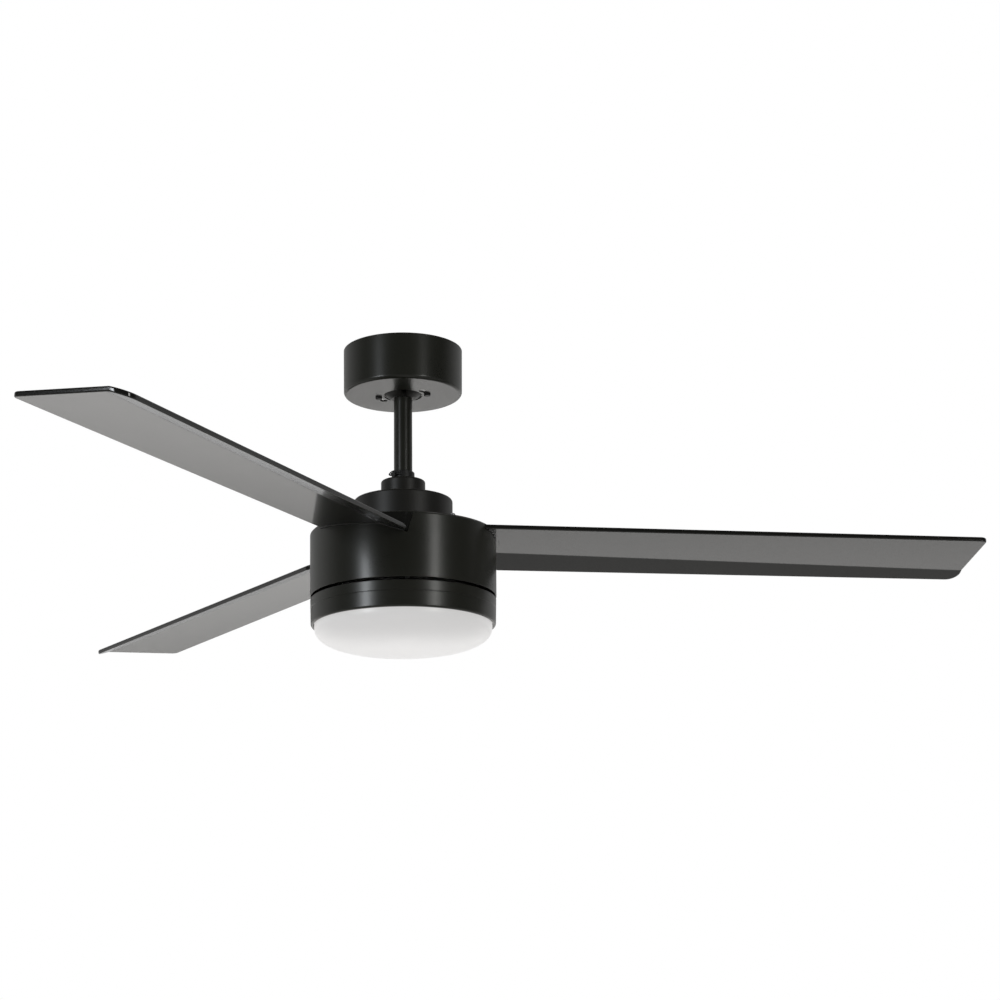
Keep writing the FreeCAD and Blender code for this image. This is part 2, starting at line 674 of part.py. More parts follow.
def light_ring():
    wall = 1.2
    edge = 2.2
    k = 1 - math.sqrt(0.5)
    groove = 0.4
    slope = (RING_R_TOP - RING_R_LOW) / (-SEAM_GAP - RING_LOW)
    r_edge = RING_R_LOW + slope * edge
    shell = lathe([
        (RING_R_TOP, up(-SEAM_GAP)), (RING_R_TOP - 0.25, up(-14.2)), (RING_R_TOP - 0.25 - groove, up(-14.5)),
        (RING_R_TOP - 0.27 - groove, up(-15.0)), (RING_R_TOP - 0.27, up(-15.3)),
        (r_edge, up(RING_LOW + edge)),
        (r_edge - edge * k, up(RING_LOW + edge * k), r_edge - edge, up(RING_LOW)),
        (100.3, up(RING_LOW)), (100.3, up(RING_LOW + wall)), (r_edge - wall - 0.6, up(RING_LOW + wall)),
        (r_edge - wall, up(RING_LOW + wall + 0.8)), (RING_R_TOP - wall - 0.2, up(-6.4)),
        (92.0, up(-6.4)), (92.0, up(-4.9)), (RING_R_TOP - wall - 0.1, up(-4.9)),
        (RING_R_TOP - wall, up(-SEAM_GAP))])
    ledges = [sector(102.7, 100.3, up(-29.0), up(-27.8), a - 8, a + 9) for a in spaced(3, 30)]
    stops = [sector(102.7, 100.3, up(-28.4), up(-25.0), a + 6.4, a + 9) for a in spaced(3, 30)]
    body = merged([shell] + ledges + stops)
    for a in EAR_ANGLES:
        body = body.cut(cyl(1.6, up(-7), up(-4), *polar(97, a)))
    return [body]


def light_ring_screws():
    screw = flipped(pan_screw(3.0, 1.8, 1.5, 3.0, up(-6.4)), up(-6.4))
    return [moved(screw, *polar(97, a)) for a in EAR_ANGLES]


def heat_spreader():
    plate = cyl(86, up(-20), up(-18))
    posts = [cyl(4.0, up(-18), up(-4.9), *polar(60, a)) for a in POST_ANGLES]
    body = merged([plate] + posts)
    for a in POST_ANGLES:
        body = body.cut(cyl(1.5, up(-14), up(-4), *polar(60, a)))
        body = body.cut(cyl(1.2, up(-21), up(-17), *polar(38, a + 30)))
    return [body]


def spreader_screws():
    return [moved(pan_screw(3.0, 1.6, 1.5, 9.5, up(-SEAM_GAP)), *polar(60, a)) for a in POST_ANGLES]


def led_driver():
    case = box(-17, 17, -80, -22, up(-17.8), up(-6.8))
    case = case.makeFillet(1.5, [e for e in case.Edges if abs(e.Length - 11) < 0.1])
    return [along_leads(case)]


def led_board():
    board = cyl(80, up(-21.6), up(-20))
    for a in EAR_ANGLES:
        board = board.cut(cyl(1.3, up(-22), up(-19), *polar(38, a - 30)))
    return [board]


def led_board_screws():
    screw = flipped(pan_screw(2.6, 1.4, 1.2, 3.4, up(-21.6)), up(-21.6))
    return [moved(screw, *polar(38, a - 30)) for a in EAR_ANGLES]


def led_chips():
    solids = []
    for r, count in ((24, 6), (48, 12), (70, 18)):
        chip = box(r - 1.5, r + 1.5, -1.5, 1.5, up(-22.3), up(-21.6))
        solids += around(chip, spaced(count, 10))
    return solids


def dome_profile(radius, drop, steps=28):
    """Rounded bowl from its rim down to the axis: a superellipse, flatter than a sphere."""
    pts = []
    for k in range(1, steps + 1):
        a = 0.5 * math.pi * k / steps
        r = radius * math.cos(a) ** (2 / DOME_POWER)
        z = RING_LOW - drop * math.sin(a) ** (2 / DOME_POWER)
        pts.append(Vec(max(r, 0.0), 0, up(z)))
    pts[-1] = Vec(0, 0, up(RING_LOW - drop))
    return pts


def diffuser():
    wall = 2.2
    top = -25.0
    outer = [Vec(DOME_R, 0, up(RING_LOW))] + dome_profile(DOME_R, DOME_DROP)
    inner = [Vec(DOME_R - wall, 0, up(RING_LOW))] + dome_profile(DOME_R - wall, DOME_DROP - wall)
    curve_out = Part.BSplineCurve()
    curve_out.interpolate(outer)
    curve_in = Part.BSplineCurve()
    curve_in.interpolate(inner)
    a = Vec(DOME_R, 0, up(top))
    b = Vec(DOME_R - wall, 0, up(top))
    wire = Part.Wire([Part.LineSegment(a, outer[0]).toShape(), curve_out.toShape(),
                      Part.LineSegment(outer[-1], inner[-1]).toShape(), curve_in.toShape(),
                      Part.LineSegment(inner[0], b).toShape(), Part.LineSegment(b, a).toShape()])
    bowl = Part.Face(wire).revolve(Vec(0, 0, 0), UP, 360)
    lugs = [sector(101.9, DOME_R - 1.0, up(-27.5), up(top), a0 - 6, a0 + 6) for a0 in spaced(3, 30)]
    return [merged([bowl] + lugs)]


MAKERS = [
    mounting_bracket, canopy, canopy_screws, receiver, terminal_block, terminal_screws, earth_screw,
    hanger_ball, ball_pin, ball_set_screw, downrod, lead_connector, motor_leads, light_leads,
    yoke, yoke_set_screws, clevis_pin, hairpin_clip, coupling_cover, coupling_cover_screws,
    motor_shaft, stator_core, stator_windings, shaft_circlips,
    rotor_top_cover, rotor_bottom_cover, rotor_ring, magnets, rotor_screws,
    blade_carrier, carrier_screws, blade_screws, blade_washers,
    motor_housing, housing_screws, housing_top_cover, top_cover_screws, shaft_spacer,
    light_kit_plate, shaft_nut, light_ring, light_ring_screws, heat_spreader, spreader_screws,
    led_driver, led_board, led_board_screws, led_chips, diffuser,
]


def build():
    os.makedirs("parts", exist_ok=True)
    for make in MAKERS:
        save(make.__name__, make())
    for name, h in (("lower", 5.5), ("upper", 42.5)):
        inner, outer, balls = bearing(h)
        save(name + "_bearing_inner_race", [inner])
        save(name + "_bearing_outer_race", [outer])
        save(name + "_bearing_balls", balls)
    first = blade()
    for k in range(BLADE_COUNT):
        save("blade_%d" % (k + 1), [turned(first, 360.0 * k / BLADE_COUNT)])


build()
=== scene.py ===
import json
import math

import bmesh
import bpy
from bpy.props import FloatProperty, FloatVectorProperty, IntProperty, PointerProperty
from bpy.types import Operator, Panel, PropertyGroup
from mathutils import Matrix, Vector


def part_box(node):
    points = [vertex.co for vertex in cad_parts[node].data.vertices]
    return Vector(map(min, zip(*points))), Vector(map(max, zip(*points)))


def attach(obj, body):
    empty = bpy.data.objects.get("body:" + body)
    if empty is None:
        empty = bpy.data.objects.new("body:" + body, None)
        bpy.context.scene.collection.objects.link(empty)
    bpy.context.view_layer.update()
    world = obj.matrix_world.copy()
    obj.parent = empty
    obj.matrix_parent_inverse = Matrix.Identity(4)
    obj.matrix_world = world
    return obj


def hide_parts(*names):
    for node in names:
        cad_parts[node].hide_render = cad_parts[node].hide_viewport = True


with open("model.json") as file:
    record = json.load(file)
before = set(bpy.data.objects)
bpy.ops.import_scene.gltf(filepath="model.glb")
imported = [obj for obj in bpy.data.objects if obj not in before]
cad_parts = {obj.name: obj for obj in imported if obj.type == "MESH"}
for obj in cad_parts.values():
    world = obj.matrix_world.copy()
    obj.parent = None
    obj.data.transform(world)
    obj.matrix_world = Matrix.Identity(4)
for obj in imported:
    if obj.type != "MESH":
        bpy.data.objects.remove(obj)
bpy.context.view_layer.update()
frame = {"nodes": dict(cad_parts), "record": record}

bl_info = {
    "name": "Ceiling fan with light",
    "version": (1, 0, 0),
    "blender": (4, 5, 0),
    "location": "View3D > Sidebar > Fan",
    "description": "Builds the visible shells, blades and finishes of a three-blade ceiling fan",
    "category": "Add Mesh",
}

MM = 0.001
MOUNT = "ceiling_mount"
HANGING = "hanging_assembly"
ROTOR = "rotor"
LIGHT = "light_diffuser"

# Heights are in millimetres above the seam between the turning drum and the fixed light ring.
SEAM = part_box("motor_housing")[0].z / MM
PIN_DEG = 45.0
PIN_H = 140.5
BALL_Z = -31.0
EAR_DEG = (60.0, 180.0, 300.0)
LUG_DEG = (30.0, 150.0, 270.0)
KEYHOLE_R = 28.5
KEYHOLE_DEG = -42.0
KEYHOLE_SLOT_DEG = 26.0
RIM_SCREW_R = 99.6
EAR_SCREW_R = 72.0
POST_R = 30.0


def width_of(node, k=0):
    low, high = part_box(node)
    return high[k] - low[k]


def length(name, text, default):
    return FloatProperty(name=name, description=text, default=default, min=0.0, subtype="DISTANCE",
                         unit="LENGTH", precision=5)


def angle(name, text, degrees):
    return FloatProperty(name=name, description=text, default=math.radians(degrees), subtype="ANGLE",
                         unit="ROTATION")


def share(name, text, default):
    return FloatProperty(name=name, description=text, default=default, min=0.0, max=1.0, subtype="FACTOR")


def colour(name, text, default):
    return FloatVectorProperty(name=name, description=text, default=default, size=3, min=0.0, max=1.0,
                               subtype="COLOR")


class FanSizes(PropertyGroup):
    canopy_radius: length("Canopy radius", "Top radius of the canopy", width_of("canopy") / 2)
    canopy_depth: length("Canopy depth", "Height of the canopy's wall", width_of("canopy", 2))
    canopy_edge: length("Canopy edge", "Radius of the canopy's lower edge", 0.004)
    rod_radius: length("Rod radius", "Outside radius of the downrod", 0.01045)
    rod_bore: length("Rod bore", "Inside radius of the downrod", 0.0085)
    skirt_radius: length("Cover radius", "Radius of the coupling cover's lower tier",
                         width_of("coupling_cover") / 2)
    cap_radius: length("Cap radius", "Radius of the coupling cover's upper tier", 0.0251)
    drum_radius: length("Drum radius", "Radius of the drum at its top", 0.105)
    drum_height: length("Drum height", "Height of the drum", width_of("motor_housing", 2))
    drum_edge: length("Drum edge", "Radius of the drum's top edge", 0.0018)
    lid_radius: length("Lid radius", "Radius of the drum's lid", width_of("housing_top_cover") / 2)
    ring_radius: length("Ring radius", "Radius of the light ring at its top", width_of("light_ring") / 2)
    ring_depth: length("Ring depth", "Height of the light ring", width_of("light_ring", 2))
    dome_radius: length("Dome radius", "Radius of the diffuser's rim", 0.0996)
    dome_drop: length("Dome drop", "How far the diffuser hangs below its ring", 0.028)
    dome_wall: length("Dome wall", "Thickness of the diffuser", 0.0022)
    blade_thickness: length("Blade thickness", "Thickness of a blade", 0.0052)
    blade_edge: length("Blade edge", "Radius of a blade's edges", 0.0015)
    blade_bend: length("Crease softness", "Half width of the bend along a blade's crease", 0.0012)
    blade_pitch: angle("Blade pitch", "Tilt of a blade across its length", 5.18)
    blade_droop: angle("Blade droop", "Slope of a blade down to its tip", 0.98)
    blade_flap: angle("Flap angle", "Bend of the strip along the trailing edge", 14.2)
    segments: IntProperty(name="Segments", description="Sides of a full round", default=256, min=24, max=512)


class FanFinishes(PropertyGroup):
    paint: colour("Paint", "Satin black powder coat on the metal shells", (0.0215, 0.0222, 0.0170))
    paint_roughness: share("Paint roughness", "Roughness of the powder coat", 0.29)
    plastic: colour("Black plastic", "Moulded coupling cover and hanger ball", (0.0130, 0.0124, 0.0100))
    plastic_roughness: share("Plastic roughness", "Roughness of the black plastic", 0.45)
    blade: colour("Blade", "Satin black of the blades", (0.0130, 0.0130, 0.0112))
    blade_roughness: share("Blade roughness", "Roughness of the blades", 0.11)
    opal: colour("Opal", "Opal acrylic of the diffuser", (0.22, 0.224, 0.236))
    opal_glow: share("Opal glow", "Light that comes through the opal bowl", 0.52)
    dust: colour("Dust", "Dust on upward faces", (0.30, 0.28, 0.25))
    dust_amount: share("Dust amount", "How much dust lies on upward faces", 0.10)
    zinc: colour("Zinc", "Zinc plating on pressed steel", (0.60, 0.60, 0.59))


class FanStudio(PropertyGroup):
    floor_depth: length("Floor depth", "How far the floor is below the ceiling", 2.3)
    floor_size: length("Floor size", "Half width of the floor", 40.0)
    floor_tone: colour("Floor", "Colour of the floor", (0.85, 0.84, 0.825))
    sky_back: share("Light behind", "Brightness of the studio behind the fan", 0.92)
    sky_front: share("Light in front", "Brightness of the studio in front of the fan", 0.085)
    box_power: FloatProperty(name="Soft box power", description="Watts of the left soft box", default=15.0)
    wash_power: FloatProperty(name="Floor wash power", description="Watts over the floor in front",
                              default=14.0)
    camera_lens: FloatProperty(name="Lens", description="Focal length",
                               default=85.73, subtype="DISTANCE_CAMERA")


# Drawing ---------------------------------------------------------------------

def at(h):
    """Height in the frame, in millimetres, of a height above the seam."""
    return SEAM + h


def in_mm(metres):
    return metres / MM


def polar(r, degrees):
    a = math.radians(degrees)
    return r * math.cos(a), r * math.sin(a)


def spin(degrees):
    return Matrix.Rotation(math.radians(degrees), 4, "Z")


def soft_corners(corners, steps=6):
    """Points of a closed outline whose corners (u, v, radius) are rounded."""
    points = []
    count = len(corners)
    for i, (u, v, radius) in enumerate(corners):
        here = Vector((u, v))
        to_last = (Vector(corners[i - 1][:2]) - here).normalized()
        to_next = (Vector(corners[(i + 1) % count][:2]) - here).normalized()
        half = 0.5 * to_last.angle(to_next)
        if radius <= 0 or half > math.radians(89.5):
            points.append(here)
            continue
        reach = radius / math.tan(half)
        centre = here + (to_last + to_next).normalized() * (radius / math.sin(half))
        start = here + to_last * reach - centre
        end = here + to_next * reach - centre
        turn = start.angle_signed(end)
        for k in range(steps + 1):
            a = -turn * k / steps
            c, s = math.cos(a), math.sin(a)
            points.append(centre + Vector((start.x * c - start.y * s, start.x * s + start.y * c)))
    return points


def bridge(bm, first, second):
    """Quads between two loops of vertices; a loop of one vertex is a pole."""
    count = max(len(first), len(second))
    for i in range(count):
        j = (i + 1) % count
        corners = [first[i % len(first)], first[j % len(first)],
                   second[j % len(second)], second[i % len(second)]]
        kept = []
        for v in corners:
            if v not in kept:
                kept.append(v)
        if len(kept) > 2:
            bm.faces.new(kept)


def revolve(bm, outline, segments):
    """Full turn of a closed (radius, height) outline about the fan's axis."""
    rings = []
    for r, z in outline:
        if r < 1e-6:
            rings.append([bm.verts.new((0, 0, z))])
        else:
            rings.append([bm.verts.new((*polar(r, 360 * k / segments), z)) for k in range(segments)])
    for i, ring in enumerate(rings):
        after = rings[(i + 1) % len(rings)]
        if len(ring) > 1 or len(after) > 1:
            bridge(bm, ring, after)


def sweep_sector(bm, outline, start, end, steps=12):
    """Part of a turn of a closed (radius, height) outline, with flat ends."""
    rings = []
    for k in range(steps + 1):
        degrees = start + (end - start) * k / steps
        rings.append([bm.verts.new((*polar(r, degrees), z)) for r, z in outline])
    for first, second in zip(rings, rings[1:]):
        bridge(bm, first, second)
    bm.faces.new(rings[0])
    bm.faces.new(rings[-1])


def draw_out(bm, outline, low, high, matrix):
    """Bar of a closed (u, v) outline between two heights, placed by a matrix."""
    loops = [[bm.verts.new(matrix @ Vector((u, v, z))) for u, v in outline] for z in (low, high)]
    bridge(bm, loops[0], loops[1])
    bm.faces.new(loops[0])
    bm.faces.new(loops[1])


def disc(radius, count=32):
    return [polar(radius, 360 * k / count) for k in range(count)]


def drill(bm, radius, low, high, x=0.0, y=0.0, count=32):
    """Upright round bar, for drilling or for a boss."""
    draw_out(bm, disc(radius, count), low, high, Matrix.Translation((x, y, 0)))


def cross_drill(bm, radius, half_length, height, degrees, count=32):
    """Level round bar through the axis at a height."""
    lie = Matrix.Translation((0, 0, height)) @ spin(degrees) @ Matrix.Rotation(math.radians(90), 4, "Y")
    draw_out(bm, disc(radius, count), -half_length, half_length, lie)


def as_object(name, bm):
    """Object from a drawing in millimetres."""
    bmesh.ops.recalc_face_normals(bm, faces=bm.faces)
    mesh = bpy.data.meshes.new(name)
    bm.to_mesh(mesh)
    bm.free()
    mesh.transform(Matrix.Scale(MM, 4))
    piece = bpy.data.objects.new(name, mesh)
    bpy.context.scene.collection.objects.link(piece)
    return piece


def drawn(name, *steps):
    """Object drawn by functions that each add to one mesh."""
    bm = bmesh.new()
    for step in steps:
        step(bm)
    return as_object(name, bm)


def work(piece, tool, operation):
    """Cut a tool's shape from a piece, or weld it on, and remove the tool."""
    change = piece.modifiers.new("work", "BOOLEAN")
    change.object = tool
    change.operation = operation
    change.solver = "EXACT"
    graph = bpy.context.evaluated_depsgraph_get()
    mesh = bpy.data.meshes.new_from_object(piece.evaluated_get(graph))
    piece.modifiers.clear()
    old = piece.data
    piece.data = mesh
    bpy.data.meshes.remove(old)
    bpy.data.objects.remove(tool)
    if not mesh.polygons:
        raise RuntimeError("nothing is left of " + piece.name)


def cut(piece, *steps):
    work(piece, drawn("cutter", *steps), "DIFFERENCE")


def weld(piece, *steps):
    work(piece, drawn("addition", *steps), "UNION")


def settle(piece, node, body, material, sharp=40.0):
    """Shade a finished piece, give it its finish and its body, and let it stand for its CAD node."""
    mesh = piece.data
    mesh.name = piece.name
    mesh.polygons.foreach_set("use_smooth", [True] * len(mesh.polygons))
    mesh.set_sharp_from_angle(angle=math.radians(sharp))
    even = piece.modifiers.new("even shading", "WEIGHTED_NORMAL")
    even.keep_sharp = True
    even.weight = 80
    mesh.materials.clear()
    mesh.materials.append(material)
    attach(piece, body)
    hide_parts(node)
    return piece


# Effects shared by the finishes ------------------------------------------------

def add_node(tree, kind, **settings):
    node = tree.nodes.new(kind)
    for key, value in settings.items():
        setattr(node, key, value)
    return node


def effect(name, inputs, outputs):
    """Empty node group with named value sockets; returns it with its input and output nodes."""
    group = bpy.data.node_groups.new(name, "ShaderNodeTree")
    for label, default in inputs:
        socket = group.interface.new_socket(name=label, in_out="INPUT", socket_type="NodeSocketFloat")
        socket.default_value = default
    for label in outputs:
        group.interface.new_socket(name=label, in_out="OUTPUT", socket_type="NodeSocketFloat")
    return group, add_node(group, "NodeGroupInput"), add_node(group, "NodeGroupOutput")


def noise(tree, vector, scale, detail=2.0, roughness=0.5):
    node = add_node(tree, "ShaderNodeTexNoise", noise_dimensions="3D")
    tree.links.new(vector, node.inputs["Vector"])
    if isinstance(scale, (int, float)):
        node.inputs["Scale"].default_value = scale
    else:
        tree.links.new(scale, node.inputs["Scale"])
    node.inputs["Detail"].default_value = detail
    node.inputs["Roughness"].default_value = roughness
    return node.outputs["Fac"]


def maths(tree, operation, a, b=None, clamp=False):
    node = add_node(tree, "ShaderNodeMath", operation=operation, use_clamp=clamp)
    for socket, value in zip(node.inputs, (a, b)):
        if value is None:
            continue
        if isinstance(value, (int, float)):
            socket.default_value = value
        else:
            tree.links.new(value, socket)
    return node.outputs[0]


def ranged(tree, value, low, high, to_low=0.0, to_high=1.0):
    node = add_node(tree, "ShaderNodeMapRange", interpolation_type="SMOOTHSTEP")
    tree.links.new(value, node.inputs["Value"])
    for label, number in (("From Min", low), ("From Max", high), ("To Min", to_low), ("To Max", to_high)):
        if isinstance(number, (int, float)):
            node.inputs[label].default_value = number
        else:
            tree.links.new(number, node.inputs[label])
    return node.outputs["Result"]


def coat_grain():
    """Fine orange peel of a sprayed or moulded surface, with a slow drift in its gloss."""
    group, given, result = effect(
        "coat grain", [("Peel Scale", 900.0), ("Drift Scale", 14.0), ("Gloss", 0.25), ("Gloss Spread", 0.05)],
        ["Height", "Roughness", "Drift"])
    place = add_node(group, "ShaderNodeTexCoord").outputs["Object"]
    fine = noise(group, place, given.outputs["Peel Scale"], 2.0, 0.55)
    slow = noise(group, place, given.outputs["Drift Scale"], 3.0, 0.5)
    group.links.new(fine, result.inputs["Height"])
    group.links.new(slow, result.inputs["Drift"])
    swing = maths(group, "MULTIPLY", maths(group, "SUBTRACT", slow, 0.5), given.outputs["Gloss Spread"])
    grain = maths(group, "MULTIPLY", maths(group, "SUBTRACT", fine, 0.5), 0.04)
    total = maths(group, "ADD", maths(group, "ADD", given.outputs["Gloss"], swing), grain, clamp=True)
    group.links.new(total, result.inputs["Roughness"])
    return group


def settled_dust():
    """Where dust lies: faces that look up, broken up by clumps."""
    group, given, result = effect("settled dust", [("Amount", 0.1), ("Clump Scale", 60.0)], ["Mask"])
    place = add_node(group, "ShaderNodeTexCoord").outputs["Object"]
    facing = add_node(group, "ShaderNodeSeparateXYZ")
    group.links.new(add_node(group, "ShaderNodeNewGeometry").outputs["Normal"], facing.inputs[0])
    upward = ranged(group, facing.outputs["Z"], 0.35, 0.98)
    clumps = ranged(group, noise(group, place, given.outputs["Clump Scale"], 6.0, 0.62),
                    0.30, 0.72, 0.35, 1.0)
    specks = ranged(group, noise(group, place, 1500.0, 1.0), 0.60, 0.75)
    fall = maths(group, "ADD", clumps, specks)
    mask = maths(group, "MULTIPLY", maths(group, "MULTIPLY", fall, upward),
                 given.outputs["Amount"], clamp=True)
    group.links.new(mask, result.inputs["Mask"])
    return group


def worn_edges():
    """Edges and corners, where a finish is thinnest."""
    group, given, result = effect("worn edges", [("Reach", 0.04), ("Break Scale", 220.0)], ["Mask"])
    place = add_node(group, "ShaderNodeTexCoord").outputs["Object"]
    point = add_node(group, "ShaderNodeNewGeometry").outputs["Pointiness"]
    start = maths(group, "SUBTRACT", 0.60, given.outputs["Reach"])
    edge = ranged(group, point, start, 0.64)
    broken = ranged(group, noise(group, place, given.outputs["Break Scale"], 4.0, 0.6), 0.42, 0.62)
    group.links.new(maths(group, "MULTIPLY", edge, broken, clamp=True), result.inputs["Mask"])
    return group


def drawn_lines():
    """Fine lines left by drawing, grinding or brushing along one axis."""
    group, given, result = effect(
        "drawn lines", [("Across", 2200.0), ("Along", 40.0), ("Gloss", 0.3), ("Gloss Spread", 0.2)],
        ["Height", "Roughness", "Tone"])
    place = add_node(group, "ShaderNodeTexCoord").outputs["Object"]
    stretch = add_node(group, "ShaderNodeCombineXYZ")
    group.links.new(given.outputs["Across"], stretch.inputs["X"])
    group.links.new(given.outputs["Along"], stretch.inputs["Y"])
    group.links.new(given.outputs["Across"], stretch.inputs["Z"])
    scaled = add_node(group, "ShaderNodeVectorMath", operation="MULTIPLY")
    group.links.new(place, scaled.inputs[0])
    group.links.new(stretch.outputs[0], scaled.inputs[1])
    lines = noise(group, scaled.outputs[0], 1.0, 3.0, 0.6)
    tone = noise(group, place, 45.0, 5.0, 0.6)
    swing = maths(group, "MULTIPLY", maths(group, "SUBTRACT", tone, 0.5), given.outputs["Gloss Spread"])
    group.links.new(lines, result.inputs["Height"])
    group.links.new(tone, result.inputs["Tone"])
    group.links.new(maths(group, "ADD", given.outputs["Gloss"], swing, clamp=True),
                    result.inputs["Roughness"])
    return group


def cast_skin():
    """Pits and grain of a casting or a pressed powder part."""
    group, given, result = effect(
        "cast skin", [("Grain Scale", 1400.0), ("Gloss", 0.5), ("Gloss Spread", 0.15)],
        ["Height", "Roughness", "Tone"])
    place = add_node(group, "ShaderNodeTexCoord").outputs["Object"]
    grain = noise(group, place, given.outputs["Grain Scale"], 5.0, 0.65)
    pits = ranged(group, noise(group, place, 420.0, 2.0), 0.28, 0.42)
    tone = noise(group, place, 70.0, 4.0, 0.6)
    group.links.new(maths(group, "MULTIPLY", grain, pits), result.inputs["Height"])
    group.links.new(tone, result.inputs["Tone"])
    swing = maths(group, "MULTIPLY", maths(group, "SUBTRACT", tone, 0.5), given.outputs["Gloss Spread"])
    group.links.new(maths(group, "ADD", given.outputs["Gloss"], swing, clamp=True),
                    result.inputs["Roughness"])
    return group


EFFECTS = {}
FINISHES = {}


def build_effects():
    EFFECTS.update(grain=coat_grain(), dust=settled_dust(), wear=worn_edges(),
                   lines=drawn_lines(), skin=cast_skin())


# Finishes --------------------------------------------------------------------

def new_finish(name, **plain):
    """Material with one Principled shader; plain sockets are set on the shader itself."""
    material = bpy.data.materials.new(name)
    material.use_nodes = True
    tree = material.node_tree
    shader = tree.nodes["Principled BSDF"]
    for label, value in plain.items():
        shader.inputs[label.replace("_", " ")].default_value = value
    return material, tree, shader


def place_effect(tree, key, **values):
    node = add_node(tree, "ShaderNodeGroup", node_tree=EFFECTS[key])
    for label, value in values.items():
        node.inputs[label.replace("_", " ")].default_value = value
    return node


def blend_colours(tree, factor, first, second):
    """Mix of two colours by a mask; a colour is a tuple or another node's output."""
    node = add_node(tree, "ShaderNodeMix", data_type="RGBA")
    tree.links.new(factor, node.inputs["Factor"])
    for socket, value in ((node.inputs[6], first), (node.inputs[7], second)):
        if isinstance(value, bpy.types.NodeSocket):
            tree.links.new(value, socket)
        else:
            socket.default_value = (*value, 1.0)
    return node.outputs[2]


def scaled_colour(base, factor):
    return tuple(min(1.0, c * factor) for c in base)


def bumped(tree, shader, height, strength, depth):
    bump = add_node(tree, "ShaderNodeBump")
    bump.inputs["Strength"].default_value = strength
    bump.inputs["Distance"].default_value = depth
    tree.links.new(height, bump.inputs["Height"])
    tree.links.new(bump.outputs["Normal"], shader.inputs["Normal"])


def coated(name, base, roughness, spread, peel, strength, dust_amount, wear_colour, wear, drift=14.0):
    """Black powder coat or moulded plastic: grain, slow gloss drift, dust on top and thin edges."""
    finishes = bpy.context.scene.fan_finishes
    material, tree, shader = new_finish(name, IOR=1.5)
    grain = place_effect(tree, "grain", Peel_Scale=peel, Gloss=roughness,
                         Gloss_Spread=spread, Drift_Scale=drift)
    dust = place_effect(tree, "dust", Amount=dust_amount)
    edges = place_effect(tree, "wear", Reach=wear)
    body = blend_colours(tree, grain.outputs["Drift"], scaled_colour(base, 0.85), scaled_colour(base, 1.15))
    body = blend_colours(tree, edges.outputs["Mask"], body, wear_colour)
    body = blend_colours(tree, dust.outputs["Mask"], body, finishes.dust)
    tree.links.new(body, shader.inputs["Base Color"])
    dulled = maths(tree, "ADD", grain.outputs["Roughness"],
                   maths(tree, "MULTIPLY", dust.outputs["Mask"], 0.6), clamp=True)
    tree.links.new(dulled, shader.inputs["Roughness"])
    bumped(tree, shader, grain.outputs["Height"], strength, 0.00005)
    return material


def plated(name, base, roughness, spread, along=40.0, across=2200.0, strength=0.25, dust_amount=0.05):
    """Bare or plated metal with drawing lines and a cloudy tone."""
    finishes = bpy.context.scene.fan_finishes
    material, tree, shader = new_finish(name, Metallic=1.0)
    lines = place_effect(tree, "lines", Across=across, Along=along, Gloss=roughness, Gloss_Spread=spread)
    dust = place_effect(tree, "dust", Amount=dust_amount)
    metal = blend_colours(tree, lines.outputs["Tone"], scaled_colour(base, 0.78), scaled_colour(base, 1.2))
    metal = blend_colours(tree, dust.outputs["Mask"], metal, finishes.dust)
    tree.links.new(metal, shader.inputs["Base Color"])
    tree.links.new(lines.outputs["Roughness"], shader.inputs["Roughness"])
    bumped(tree, shader, lines.outputs["Height"], strength, 0.00004)
    return material


def cast(name, base, roughness, metallic, strength=0.5, grain=1400.0):
    """Casting, sinter or ferrite with a grainy skin."""
    material, tree, shader = new_finish(name, Metallic=metallic)
    skin = place_effect(tree, "skin", Grain_Scale=grain, Gloss=roughness)
    tone = blend_colours(tree, skin.outputs["Tone"], scaled_colour(base, 0.8), scaled_colour(base, 1.18))
    tree.links.new(tone, shader.inputs["Base Color"])
    tree.links.new(skin.outputs["Roughness"], shader.inputs["Roughness"])
    bumped(tree, shader, skin.outputs["Height"], strength, 0.00008)
    return material


def moulded(name, base, roughness, peel=1100.0, dust_amount=0.06, **plain):
    """Light moulded plastic with a fine spark-eroded texture."""
    finishes = bpy.context.scene.fan_finishes
    material, tree, shader = new_finish(name, **plain)
    grain = place_effect(tree, "grain", Peel_Scale=peel, Gloss=roughness, Gloss_Spread=0.1)
    dust = place_effect(tree, "dust", Amount=dust_amount)
    body = blend_colours(tree, grain.outputs["Drift"], scaled_colour(base, 0.94), scaled_colour(base, 1.04))
    body = blend_colours(tree, dust.outputs["Mask"], body, finishes.dust)
    tree.links.new(body, shader.inputs["Base Color"])
    tree.links.new(grain.outputs["Roughness"], shader.inputs["Roughness"])
    bumped(tree, shader, grain.outputs["Height"], 0.25, 0.00005)
    return material


